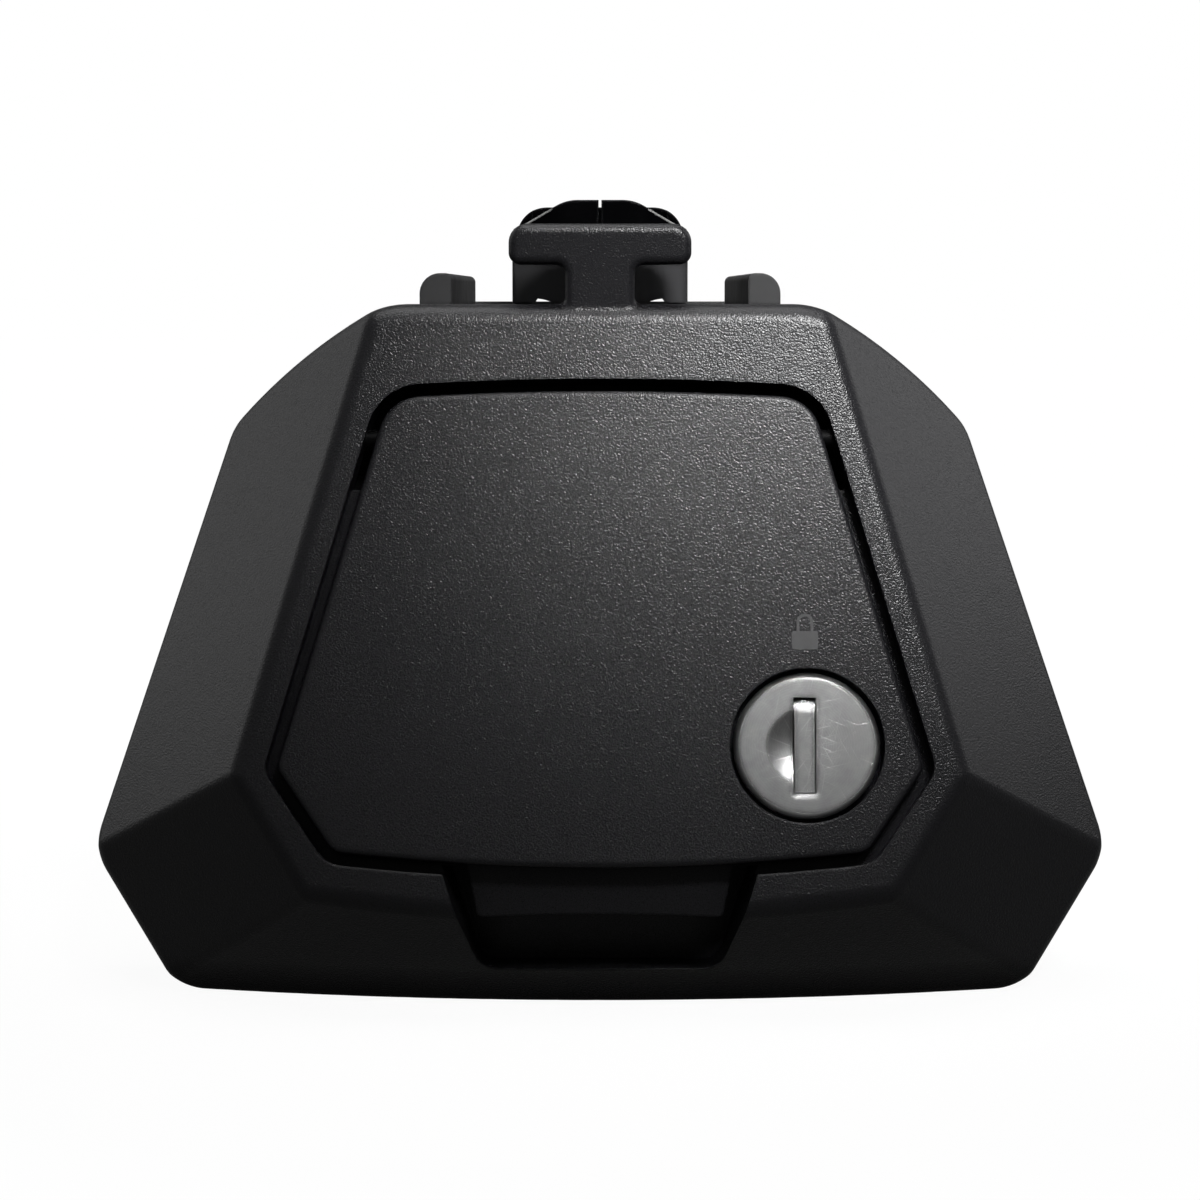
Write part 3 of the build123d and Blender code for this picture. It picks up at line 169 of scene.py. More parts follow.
def dress(material, *nodes):
    """Gives the CAD nodes their finish."""
    for name in nodes:
        slots = frame["nodes"][name].data.materials
        slots.clear()
        slots.append(material)


nylon, tree, shader, place = new_finish("fibre_nylon_black")
flow = streaks(tree, place, FLOW_CELLS, 4.0, 0.6)
speck = noise(tree, place, SPECK_CELLS, 2.0)
soft, edge = rounded_edges(tree, NYLON_EDGE)
rub = combine(tree, "MULTIPLY", edge, span(tree, noise(tree, place, RUB_CELLS, 3.0), 0.35, 0.7))
skin = combine(tree, "MAXIMUM", span(tree, flow, 0.3, 0.75, 0.0, 0.55), rub)
colour = tones(tree, skin, (0.0, NYLON_DARK), (0.55, NYLON_PALE), (1.0, NYLON_RUBBED))
dull = span(tree, flow, 0.2, 0.8, *NYLON_ROUGH)
feed(tree, shader, Base_Color=colour, Roughness=dull, Specular_IOR_Level=NYLON_GLOSS)
relief(tree, shader, speck, SPECK_DEPTH, soft)
dress(nylon, "saddle")


# Rail pad and strap sleeve: the two pieces that touch the roof rail and keep the paint safe.
# Compression-moulded black rubber: dead matt, very finely pitted, with a faint pale bloom in patches.
# The pad's studs are pushed into the saddle, and the sleeve is moulded around the strap.
RUBBER_DARK = (0.016, 0.016, 0.016)
RUBBER_BLOOM = (0.036, 0.036, 0.037)
RUBBER_ROUGH = (0.74, 0.92)
RUBBER_GLOSS = 0.3
RUBBER_EDGE = 0.4 * MM
EDGE_BLOOM = 0.35
BLOOM_CELLS = 120.0
PIT_CELLS = 3000.0
PIT_DEPTH = 0.05 * MM
rubber, tree, shader, place = new_finish("moulded_rubber_black")
bloom = span(tree, noise(tree, place, BLOOM_CELLS, 4.0, 0.6), 0.4, 0.75, 0.0, 0.8)
pits = noise(tree, place, PIT_CELLS, 2.0)
soft, edge = rounded_edges(tree, RUBBER_EDGE)
pale = combine(tree, "ADD", bloom, combine(tree, "MULTIPLY", edge, EDGE_BLOOM))
colour = tones(tree, pale, (0.0, RUBBER_DARK), (1.0, RUBBER_BLOOM))
dull = span(tree, pits, 0.3, 0.7, *RUBBER_ROUGH)
feed(tree, shader, Base_Color=colour, Roughness=dull, Specular_IOR_Level=RUBBER_GLOSS)
relief(tree, shader, pits, PIT_DEPTH, soft)
dress(rubber, "rail_pad", "strap_sleeve")


# Strap: the flat band that goes under the rail, punched for the lever's hook and rolled into an eye.
# Hard stainless strip, bent cold, so the mill's fine rolling lines run along it all the way round.
# The open clips on the pins and the ring behind the lock are stamped from the same strip.
STRIP_DARK = (0.30, 0.30, 0.31)
STRIP_BRIGHT = (0.56, 0.56, 0.57)
STRIP_ROUGH = (0.24, 0.42)
STRIP_EDGE = 0.25 * MM
ROLLED_CELLS = (5200.0, 60.0, 60.0)
ROLLED_DEPTH = 0.006 * MM
STAIN_CELLS = 140.0
strip, tree, shader, place = new_finish("rolled_spring_strip")
lines = streaks(tree, place, ROLLED_CELLS, 3.0, 0.6)
stain = span(tree, noise(tree, place, STAIN_CELLS, 3.0), 0.2, 0.8, 0.75, 1.0)
soft, edge = rounded_edges(tree, STRIP_EDGE)
bright = combine(tree, "MULTIPLY", span(tree, lines, 0.25, 0.75, 0.35, 0.9), stain)
bright = combine(tree, "MAXIMUM", bright, edge)
colour = tones(tree, bright, (0.0, STRIP_DARK), (1.0, STRIP_BRIGHT))
dull = span(tree, lines, 0.2, 0.8, *STRIP_ROUGH)
feed(tree, shader, Base_Color=colour, Roughness=dull, Metallic=1.0)
relief(tree, shader, lines, ROLLED_DEPTH, soft)
dress(strip, "strap_band", "anchor_clips", "pivot_clips", "lock_ring")


# Pins and nut: the anchor pin in the strap's eye, the lever's pivot pin, the lock's small pin, the bolt's
# shoe, the lock's tongue and the square nut in the saddle. Turned or cold headed steel with bright zinc
# plate: a pale, slightly cloudy metal with a fine crystal.
ZINC_DULL = (0.40, 0.40, 0.39)
ZINC_BRIGHT = (0.66, 0.67, 0.69)
ZINC_ROUGH = (0.44, 0.26)
ZINC_EDGE = 0.2 * MM
CRYSTAL_CELLS = 1500.0
CRYSTAL_BLUR = 0.4
CRYSTAL_DEPTH = 0.008 * MM
CLOUD_CELLS = 320.0
zinc, tree, shader, place = new_finish("bright_zinc_plate")
crystal = add(
    tree, "TexVoronoi", {"feature": "SMOOTH_F1"},
    Vector=place, Scale=CRYSTAL_CELLS, Smoothness=CRYSTAL_BLUR,
).outputs["Distance"]
cloud = noise(tree, place, CLOUD_CELLS, 4.0, 0.6)
soft, edge = rounded_edges(tree, ZINC_EDGE)
glint = span(tree, crystal, 0.0, 0.8, 0.85, 1.0)
shine = combine(tree, "MULTIPLY", span(tree, cloud, 0.25, 0.75, 0.45, 1.0), glint)
shine = combine(tree, "MAXIMUM", shine, edge)
colour = tones(tree, shine, (0.0, ZINC_DULL), (1.0, ZINC_BRIGHT))
dull = span(tree, cloud, 0.2, 0.8, *ZINC_ROUGH)
feed(tree, shader, Base_Color=colour, Roughness=dull, Metallic=1.0)
relief(tree, shader, crystal, CRYSTAL_DEPTH, soft)
dress(zinc, "anchor_pin", "pivot_pin", "shutter_pin", "tension_nut", "thrust_shoe", "lock_cam")


# Flap hinge pins: two short pins pressed into the shield's cheeks that the flap's eyes snap on to.
# Drawn steel wire, cut off, tumbled and blackened in hot oxide, with the draw lines still showing faintly.
# Only a hair of each pin is seen in the gap beside the flap.
OXIDE_BLACK = (0.0020, 0.0020, 0.0022)
OXIDE_WORN = (0.0090, 0.0088, 0.0086)
OXIDE_ROUGH = (0.40, 0.56)
OXIDE_GLOSS = 0.05
OXIDE_EDGE = 0.2 * MM
DRAWN_CELLS = (80.0, 4200.0, 4200.0)
DRAWN_DEPTH = 0.006 * MM
oxide, tree, shader, place = new_finish("black_oxide_wire")
drawn = streaks(tree, place, DRAWN_CELLS, 3.0, 0.6)
soft, edge = rounded_edges(tree, OXIDE_EDGE)
worn = combine(tree, "MAXIMUM", span(tree, drawn, 0.45, 0.8, 0.0, 0.4), edge)
colour = tones(tree, worn, (0.0, OXIDE_BLACK), (1.0, OXIDE_WORN))
dull = span(tree, drawn, 0.2, 0.8, *OXIDE_ROUGH)
feed(tree, shader, Base_Color=colour, Roughness=dull, Specular_IOR_Level=OXIDE_GLOSS)
relief(tree, shader, drawn, DRAWN_DEPTH, soft)
dress(oxide, "lid_hinge_pins")


# Bar bracket and tension lever: the bracket is blanked from 2.5 mm steel and folded round until its
# front lips nearly meet; the lever is forged. Both are dip coated in black, a thin glossy film with a
# slight orange peel, thin on the corners. Low down the coat is painted paler, as painted light on the
# bracket's shaded lower part. Along the lips' sloping edges a metallic bare-steel stripe is painted,
# partly worn coat and partly the painted highlight of a bevelled edge.
COAT_BLACK = (0.0010, 0.0010, 0.0013)
COAT_WORN_AND_PAINTED_LIGHT = (0.055, 0.055, 0.057)
COAT_ROUGH = (0.16, 0.28)
COAT_GLOSS = 0.06
COAT_EDGE = 0.5 * MM
# Painted light: below the given height the coat is mixed towards the pale colour, lightening the shaded
# lower part.
PAINTED_LIGHT_LOW = 0.9
PAINTED_LIGHT_Z = (103.0 * MM, 106.0 * MM)
PEEL_CELLS = 700.0
PEEL_DEPTH = 0.02 * MM
COAT_CELLS = 180.0
# Painted highlight: a bright metallic stripe along the lips' sloping edges, partly worn-off coat, partly
# standing in for the bright line of a bevelled edge.
BARE_STEEL_HIGHLIGHT = (0.80, 0.80, 0.79)
LIP_SLOPE = 0.5517
LIP_TOP_X = 4.8 * MM
STRIPE_FROM_X = (6.8 * MM, 7.48 * MM)
STRIPE_TO_X = (11.2 * MM, 10.864 * MM)
STRIPE_WIDTH = (0.32 * MM, 0.288 * MM)
STRIPE_FRONT_Y = (-10.0 * MM, -10.1 * MM)
MIX_FIRST, MIX_SECOND, MIX_RESULT = 6, 7, 2  # the mix node's places for colours
dip_coat, tree, shader, place = new_finish("dip_coat_black")
peel = noise(tree, place, PEEL_CELLS, 2.0)
drift = noise(tree, place, COAT_CELLS, 3.0)
soft, edge = rounded_edges(tree, COAT_EDGE)
across = add(tree, "SeparateXYZ", Vector=place).outputs
worn_and_painted_light = combine(tree, "MULTIPLY", edge, span(tree, drift, 0.3, 0.7, 0.15, 0.8))
# Painted light: pale coat colour below the given height; worn thin coat along the edges.
worn_and_painted_light = combine(tree, "MAXIMUM", worn_and_painted_light, span(tree, across["Z"], *PAINTED_LIGHT_Z, PAINTED_LIGHT_LOW, 0.0))
coat = tones(tree, worn_and_painted_light, (0.0, COAT_BLACK), (1.0, COAT_WORN_AND_PAINTED_LIGHT))
lip_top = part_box("bar_bracket")[1].z
aside = combine(tree, "ABSOLUTE", across["X"])
line_z = combine(tree, "MULTIPLY", combine(tree, "SUBTRACT", aside, LIP_TOP_X), -LIP_SLOPE)
below = combine(tree, "SUBTRACT", combine(tree, "ADD", line_z, lip_top), across["Z"])
# Painted highlight: the stripe's mask, a thin band below the lips' sloping edges.
bare_highlight_stripe = span(tree, below, *STRIPE_WIDTH)
for measure, limits in ((aside, STRIPE_FROM_X), (aside, STRIPE_TO_X), (across["Y"], STRIPE_FRONT_Y)):
    bare_highlight_stripe = combine(tree, "MULTIPLY", bare_highlight_stripe, span(tree, measure, *limits))
steel = add(tree, "Mix", {"data_type": "RGBA"}, Factor=bare_highlight_stripe)
plug(tree, steel.inputs[MIX_FIRST], coat)
plug(tree, steel.inputs[MIX_SECOND], (*BARE_STEEL_HIGHLIGHT, 1.0))
dull = span(tree, drift, 0.2, 0.8, *COAT_ROUGH)
feed(tree, shader, Base_Color=steel.outputs[MIX_RESULT], Metallic=bare_highlight_stripe, Roughness=dull)
feed(tree, shader, Specular_IOR_Level=COAT_GLOSS)
relief(tree, shader, peel, PEEL_DEPTH, soft)
dress(dip_coat, "bar_bracket", "tension_lever")


# Lever bush: a plain sleeve pressed into the lever's hub to run on the pivot pin.
# Bronze powder, pressed and sintered, then soaked in oil: warm metal with small dark pores.
BRONZE = (0.50, 0.31, 0.13)
BRONZE_PORE = (0.14, 0.08, 0.03)
BRONZE_ROUGH = (0.6, 0.36)
PORE_CELLS = 2600.0
PORE_DEPTH = 0.03 * MM
bronze, tree, shader, place = new_finish("sintered_bronze")
pores = add(tree, "TexVoronoi", Vector=place, Scale=PORE_CELLS).outputs["Distance"]
colour = tones(tree, span(tree, pores, 0.10, 0.34), (0.0, BRONZE_PORE), (1.0, BRONZE))
dull = span(tree, pores, 0.1, 0.5, *BRONZE_ROUGH)
feed(tree, shader, Base_Color=colour, Roughness=dull, Metallic=1.0)
relief(tree, shader, span(tree, pores, 0.05, 0.3), PORE_DEPTH)
dress(bronze, "lever_bush")


# Bar rests: two upright ears beside the bracket that the roof bar sits down between.
# Soft dark grey elastomer moulded on tongues that slide into the saddle's platform: smooth, satin,
# with a fine matt skin and corners that are a little shinier from handling.
EAR_GREY = (0.031, 0.031, 0.032)
EAR_PALE = (0.045, 0.045, 0.046)
EAR_ROUGH = (0.58, 0.46)
EAR_GLOSS = 0.35
EAR_EDGE = 0.6 * MM
EAR_CELLS = 240.0
EAR_FINE_CELLS = 3200.0
EAR_FINE_DEPTH = 0.012 * MM
elastomer, tree, shader, place = new_finish("soft_grey_elastomer")
skin = noise(tree, place, EAR_CELLS, 4.0, 0.6)
fine = noise(tree, place, EAR_FINE_CELLS, 2.0)
soft, edge = rounded_edges(tree, EAR_EDGE)
pale = combine(tree, "MAXIMUM", span(tree, skin, 0.3, 0.75, 0.0, 0.6), edge)
colour = tones(tree, pale, (0.0, EAR_GREY), (1.0, EAR_PALE))
dull = span(tree, skin, 0.25, 0.75, *EAR_ROUGH)
feed(tree, shader, Base_Color=colour, Roughness=dull, Specular_IOR_Level=EAR_GLOSS)
relief(tree, shader, fine, EAR_FINE_DEPTH, soft)
dress(elastomer, "bar_rest_left", "bar_rest_right")


# Tension bolt: a socket head bolt through the square nut that pushes the lever back and draws the strap.
# Cold headed, thread rolled and zinc plated. The head, socket and point are the turned blank's own;
# the thread is a ridge wound round a core as deep as the rolled thread.
THREAD_PITCH = 1.25 * MM
THREAD_DEPTH = 0.62 * MM
THREAD_ROOM = 0.03 * MM
THREAD_STEPS = 36
RIDGE_SIDES = 4
WELD = 0.001 * MM


def socket_of(group, name, kind, way="INPUT"):
    """A named input or output of a node group; gives back its identifier."""
    return group.interface.new_socket(name=name, in_out=way, socket_type="NodeSocket" + kind).identifier


def close_group(group, made, finish):
    """Ends a node group: what it has made becomes real and gets its finish."""
    real = add(group, "GeometryNodeRealizeInstances", Geometry=made).outputs["Geometry"]
    painted = add(group, "GeometryNodeSetMaterial", Geometry=real, Material=finish)
    plug(group, add(group, "NodeGroupOutput").inputs[0], painted.outputs["Geometry"])


def wound_thread():
    """Node group that winds a thread's ridge round a core along +Z, and its inputs' identifiers."""
    group = bpy.data.node_groups.new("wound_thread", "GeometryNodeTree")
    socket_of(group, "Thread", "Geometry", "OUTPUT")
    ids = {name: socket_of(group, name, "Float") for name in ("Core", "Depth", "Turns", "Length")}
    ids["Steps"] = socket_of(group, "Steps", "Int")
    ids["Finish"] = socket_of(group, "Finish", "Material")
    given = add(group, "NodeGroupInput").outputs
    helix = add(
        group, "GeometryNodeCurveSpiral", Start_Radius=given["Core"], End_Radius=given["Core"],
        Rotations=given["Turns"], Height=given["Length"], Resolution=given["Steps"],
    )
    level = add(group, "GeometryNodeSetCurveNormal", {"mode": "Z_UP"}, Curve=helix.outputs["Curve"])
    section = add(
        group, "GeometryNodeCurvePrimitiveCircle", Resolution=RIDGE_SIDES, Radius=given["Depth"],
    )
    sweep = add(
        group, "GeometryNodeCurveToMesh", Curve=level.outputs["Curve"],
        Profile_Curve=section.outputs["Curve"], Fill_Caps=True,
    )
    close_group(group, sweep.outputs["Mesh"], given["Finish"])
    return group, ids


def grown(group, ids, values, start=None):
    """The mesh that a node group makes of its inputs, on a start mesh or on none."""
    holder = bpy.data.objects.new("grown", start or bpy.data.meshes.new("grown"))
    bpy.context.collection.objects.link(holder)
    maker = holder.modifiers.new("maker", "NODES")
    maker.node_group = group
    for name, value in values.items():
        maker[ids[name]] = value
    mesh = bpy.data.meshes.new_from_object(holder.evaluated_get(bpy.context.evaluated_depsgraph_get()))
    holder.modifiers.remove(maker)
    bpy.data.objects.remove(holder)
    return mesh


def thread_ridge(core, depth, pitch, run):
    """The ridge of a thread round a core, along +Z from the origin."""
    return grown(thread_group, thread_ids, {
        "Core": core, "Depth": depth, "Turns": run / pitch, "Length": run,
        "Steps": THREAD_STEPS, "Finish": zinc,
    })


def settle(shape, name, material, body, slot, *stood_for):
    """Makes a finished shape a piece that rides on a body, in place of the nodes that it stands for."""
    bmesh.ops.recalc_face_normals(shape, faces=shape.faces)
    mesh = bpy.data.meshes.new(name)
    shape.to_mesh(mesh)
    shape.free()
    mesh.materials.append(material)
    mesh.polygons.foreach_set("material_index", [0] * len(mesh.polygons))
    piece = bpy.data.objects.new(name, mesh)
    bpy.context.collection.objects.link(piece)
    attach(piece, body)
    if stood_for:
        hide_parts(*stood_for)


joints = {joint["name"]: joint for joint in frame["record"]["behaviour"]["joints"]}
thread_group, thread_ids = wound_thread()
neck = Vector(joints["bolt_spin"]["pos_m"])
shape = bmesh.new()
shape.from_mesh(frame["nodes"]["tension_bolt"].data)
bmesh.ops.remove_doubles(shape, verts=shape.verts, dist=WELD)
behind = [vert for vert in shape.verts if vert.co.y > neck.y + THREAD_PITCH]
shank_r = max(math.hypot(vert.co.x, vert.co.z - neck.z) for vert in behind)
shoulder = min(vert.co.y for vert in behind)
core_r = shank_r - THREAD_DEPTH - THREAD_ROOM
for vert in shape.verts:
    off = Vector((vert.co.x, 0, vert.co.z - neck.z))
    if abs(off.length - shank_r) < THREAD_ROOM and vert.co.y > neck.y - THREAD_ROOM:
        off *= core_r / shank_r
        vert.co = Vector((off.x, vert.co.y, neck.z + off.z))
ridge = thread_ridge(core_r, THREAD_DEPTH, THREAD_PITCH, shoulder - neck.y - 2 * THREAD_PITCH)
laid_back = Matrix.Rotation(math.radians(-90), 4, "X")
ridge.transform(Matrix.Translation(neck + Vector((0, THREAD_PITCH, 0))) @ laid_back)
shape.from_mesh(ridge)
settle(shape, "tension_bolt_threaded", zinc, "bolt", "zinc_steel", "tension_bolt")


# Shield screws: four thread-forming pan screws that pull the shield on to the saddle's back plate.
# Cold headed with a six-lobe driver recess, coarse sharp thread for plastic, bright zinc plate.
# One screw is made here and set at the four holes; the tongue's screw behind the lock is a smaller one.
SCREW_SIDES = 48
SCREW_HEAD_R = 4.0 * MM
SCREW_SHANK_R = 2.0 * MM
COARSE_PITCH = 1.8 * MM
COARSE_DEPTH = 0.48 * MM
UPPER_SCREW_X = 40.0 * MM
SPIN_SEED = 7
RANDOM_MOST, RANDOM_NUMBER = 3, 1  # the random node's places for a plain number
POINT_SHARE = 0.35
PAN_PROFILE = ((0.0, 0.96), (0.04, 1.0), (0.55, 1.0), (0.74, 0.95), (0.90, 0.84), (1.0, 0.68))
LOBES = 6
LOBE_DEPTH = 0.16
DRIVE_SHARE = 0.46
DRIVE_PROFILE = ((1.0, 1.06), (0.95, 1.0), (0.25, 0.96))
DRIVE_FLOOR = (0.18, 0.3)
TONGUE_HEAD_R = 3.6 * MM
TONGUE_SHANK_R = 1.5 * MM
TONGUE_PITCH = 0.5 * MM
TONGUE_DEPTH = 0.3 * MM


def stacked(rings):
    """A closed shape of rings along +Z: each ring is a height, a radius and how far it is lobed."""
    shape = bmesh.new()
    loops = []
    for height, radius, lobed in rings:
        loop = []
        for step in range(SCREW_SIDES):
            turn = math.tau * step / SCREW_SIDES
            reach = radius * (1 + lobed * math.cos(LOBES * turn))
            loop.append(shape.verts.new((reach * math.cos(turn), reach * math.sin(turn), height)))
        loops.append(loop)
    for lower, upper in zip(loops, loops[1:]):
        for step in range(SCREW_SIDES):
            after = (step + 1) % SCREW_SIDES
            shape.faces.new((lower[step], lower[after], upper[after], upper[step]))
    shape.faces.new(reversed(loops[0]))
    shape.faces.new(loops[-1])
    return shape


def pan_screw(head_r, head_h, shank_r, length, pitch, depth):
    """A pan screw with its head's seat at the origin, head towards +Z, as a mesh."""
    core = shank_r - depth - THREAD_ROOM
    drive = DRIVE_SHARE * head_r
    rings = [(-length, POINT_SHARE * core, 0), (-length + core, core, 0), (0, core, 0)]
    rings += [(up * head_h, out * head_r, 0) for up, out in PAN_PROFILE]
    rings += [(up * head_h, out * drive, LOBE_DEPTH) for up, out in DRIVE_PROFILE]
    rings.append((DRIVE_FLOOR[0] * head_h, DRIVE_FLOOR[1] * drive, 0))
    shape = stacked(rings)
    run = length - 2 * core
    ridge = thread_ridge(core, depth, pitch, run)
    ridge.transform(Matrix.Translation((0, 0, -run - core)))
    shape.from_mesh(ridge)
    bmesh.ops.recalc_face_normals(shape, faces=shape.faces)
    mesh = bpy.data.meshes.new("pan_screw")
    shape.to_mesh(mesh)
    shape.free()
    return mesh


def set_at_holes():
    """Node group that sets a fastener at every point of a mesh, facing one way and spun by chance."""
    group = bpy.data.node_groups.new("set_at_holes", "GeometryNodeTree")
    socket_of(group, "Holes", "Geometry")
    socket_of(group, "Fasteners", "Geometry", "OUTPUT")
    kinds = {"Fastener": "Object", "Facing": "Vector", "Loose": "Float", "Finish": "Material"}
    ids = {name: socket_of(group, name, kind) for name, kind in kinds.items()}
    given = add(group, "NodeGroupInput").outputs
    source = add(group, "GeometryNodeObjectInfo", Object=given["Fastener"])
    setting = add(
        group, "GeometryNodeInstanceOnPoints", Points=given["Holes"],
        Instance=source.outputs["Geometry"], Rotation=given["Facing"],
    )
    turn = add(group, "FunctionNodeRandomValue", {"data_type": "FLOAT"}, Seed=SPIN_SEED)
    plug(group, turn.inputs[RANDOM_MOST], given["Loose"])
    spin = add(group, "CombineXYZ", Z=turn.outputs[RANDOM_NUMBER])
    spun = add(
        group, "GeometryNodeRotateInstances", Instances=setting.outputs["Instances"],
        Rotation=spin.outputs["Vector"],
    )
    close_group(group, spun.outputs["Instances"], given["Finish"])
    return group, ids


screw_low, screw_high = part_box("shield_screws")
seat_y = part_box("front_shield")[1].y
screw = bpy.data.objects.new("one_screw", pan_screw(
    SCREW_HEAD_R, screw_high.y - seat_y, SCREW_SHANK_R, seat_y - screw_low.y, COARSE_PITCH, COARSE_DEPTH,
))
bpy.context.collection.objects.link(screw)
holes = bpy.data.meshes.new("screw_holes")
low_hole = (screw_high.x - SCREW_HEAD_R, seat_y, screw_low.z + SCREW_HEAD_R)
high_hole = (UPPER_SCREW_X, seat_y, screw_high.z - SCREW_HEAD_R)
holes.from_pydata([(side * x, y, z) for x, y, z in (low_hole, high_hole) for side in (-1, 1)], [], [])
set_group, set_ids = set_at_holes()
four = grown(set_group, set_ids, {
    "Fastener": screw, "Facing": (math.radians(-90), 0, 0), "Loose": math.tau, "Finish": zinc,
}, holes)
bpy.data.objects.remove(screw)
shape = bmesh.new()
shape.from_mesh(four)
settle(shape, "shield_screws_threaded", zinc, "foot", "zinc_steel", "shield_screws")

lock_at = Vector(joints["lock_turn"]["pos_m"])
lock_in = Vector(joints["lock_turn"]["axis"])
depths = {
    name: [(vert.co - lock_at).dot(lock_in) for vert in frame["nodes"][name].data.vertices]
    for name in ("cam_screw", "lock_cam")
}
cam_back = max(depths["lock_cam"])
tongue_screw = pan_screw(
    TONGUE_HEAD_R, max(depths["cam_screw"]) - cam_back, TONGUE_SHANK_R,
    cam_back - min(depths["cam_screw"]), TONGUE_PITCH, TONGUE_DEPTH,
)
facing_in = lock_in.to_track_quat("Z", "Y").to_matrix().to_4x4()
tongue_screw.transform(Matrix.Translation(lock_at + cam_back * lock_in) @ facing_in)
shape = bmesh.new()
shape.from_mesh(tongue_screw)
settle(shape, "cam_screw_threaded", zinc, "lock", "zinc_steel", "cam_screw")


# Shield and flap: the outer mouldings that show, in black polypropylene with a fine spark-eroded grain
# that the mould gives every outer face. Both are shot in one piece each; the flap snaps on its pins.
# Corners are rubbed smoother and a little paler; in gaps and on undersides the gloss is painted shade.
GRAIN_BLACK = (0.0080, 0.0079, 0.0091)
GRAIN_TOP = (0.0117, 0.0115, 0.0132)
GRAIN_RUBBED = (0.0225, 0.0223, 0.0248)
GRAIN_ROUGH = (0.25, 0.33)
GRAIN_EDGE = 0.5 * MM
GRAIN_CELLS = 4300.0
GRAIN_DEPTH = 0.050 * MM
FINE_CELLS = 1.7 * GRAIN_CELLS
FINE_SHARE = 0.25
DRIFT_CELLS = 55.0
WEAR_CELLS = 220.0
WEAR_SMOOTHS = 0.08
# Painted shade: near other surfaces, deep in gaps and recesses, the gloss is turned down.
CREVICE = 6.0 * MM
CREVICE_RAYS = 2
CREVICE_OPEN = (0.35, 0.75)
CREVICE_SHADE_GLOSS = (0.02, 0.34)
# Painted shade: faces turned downwards get less gloss.
SHADED_UNDERSIDE = (-0.95, -0.72)
SHADED_UNDERSIDE_GLOSS = (0.05, 1.0)
grained, tree, shader, place = new_finish("grained_plastic_black")
pebble = noise(tree, place, GRAIN_CELLS, 0.0)
fine = noise(tree, place, FINE_CELLS, 2.0, 0.6)
grain = combine(tree, "ADD", pebble, combine(tree, "MULTIPLY", fine, FINE_SHARE))
drift = span(tree, noise(tree, place, DRIFT_CELLS, 3.0), 0.3, 0.7, 0.8, 1.0)
wear = span(tree, noise(tree, place, WEAR_CELLS, 3.0), 0.3, 0.7, 0.35, 1.0)
soft, edge = rounded_edges(tree, GRAIN_EDGE)
rubbed = combine(tree, "MULTIPLY", edge, wear)
tops = combine(tree, "MULTIPLY", span(tree, grain, 0.45, 1.0, 0.0, 0.55), drift)
tone = combine(tree, "MAXIMUM", tops, rubbed)
colour = tones(tree, tone, (0.0, GRAIN_BLACK), (0.55, GRAIN_TOP), (1.0, GRAIN_RUBBED))
smoothed = combine(tree, "MULTIPLY", rubbed, WEAR_SMOOTHS)
dull = combine(tree, "SUBTRACT", span(tree, fine, 0.3, 0.7, *GRAIN_ROUGH), smoothed)
# Painted shade: ambient occlusion turns the gloss down in gaps and recesses.
open_sky = add(tree, "AmbientOcclusion", {"samples": CREVICE_RAYS}, Distance=CREVICE).outputs["AO"]
# Painted shade: the gloss falls on faces whose normal points down.
upward = add(tree, "SeparateXYZ", Vector=add(tree, "TexCoord").outputs["Normal"]).outputs["Z"]
crevice_shaded_gloss = span(tree, open_sky, *CREVICE_OPEN, *CREVICE_SHADE_GLOSS)
painted_shade_gloss = combine(tree, "MULTIPLY", crevice_shaded_gloss, span(tree, upward, *SHADED_UNDERSIDE, *SHADED_UNDERSIDE_GLOSS))
feed(tree, shader, Base_Color=colour, Roughness=dull, Specular_IOR_Level=painted_shade_gloss)
relief(tree, shader, grain, GRAIN_DEPTH, soft)
dress(grained, "front_shield", "lid_panel")


# Padlock sign: a small plain pictogram above the lock that says which way it locks.
# It is a smooth, polished patch of the flap's mould, so it is paler and flatter than the grain round it.
# A solid body with an arched shackle, a few hundredths of a millimetre proud.
SIGN_DARK = (0.030, 0.030, 0.031)
SIGN_PALE = (0.036, 0.036, 0.037)
SIGN_ROUGH = (0.40, 0.48)
SIGN_CELLS = 900.0
SIGN_OVER_LOCK = 15.6 * MM
SIGN_ASIDE = -0.24 * MM
SIGN_W = 3.6 * MM
SIGN_H = 4.95 * MM
SIGN_BODY_H = 2.55 * MM
SIGN_CORNER = 0.3 * MM
SIGN_PROUD = 0.05 * MM
SIGN_SUNK = 0.2 * SIGN_PROUD
SIGN_ARC = 16
SHACKLE_R = 0.95 * MM
SHACKLE_BAR = 0.42 * MM


def arc(middle_x, middle_y, radius, start, end, steps):
    """Points on an arc, its angles in degrees."""
    turns = [math.radians(start + (end - start) * step / steps) for step in range(steps + 1)]
    return [(middle_x + radius * math.cos(turn), middle_y + radius * math.sin(turn)) for turn in turns]


def raised(shape, outline, thick):
    """Adds a flat outline with a thickness towards +Z to a shape."""
    base = [shape.verts.new((x, y, 0)) for x, y in outline]
    top = [shape.verts.new((x, y, thick)) for x, y in outline]
    shape.faces.new(reversed(base))
    shape.faces.new(top)
    for step in range(len(base)):
        after = (step + 1) % len(base)
        shape.faces.new((base[step], base[after], top[after], top[step]))


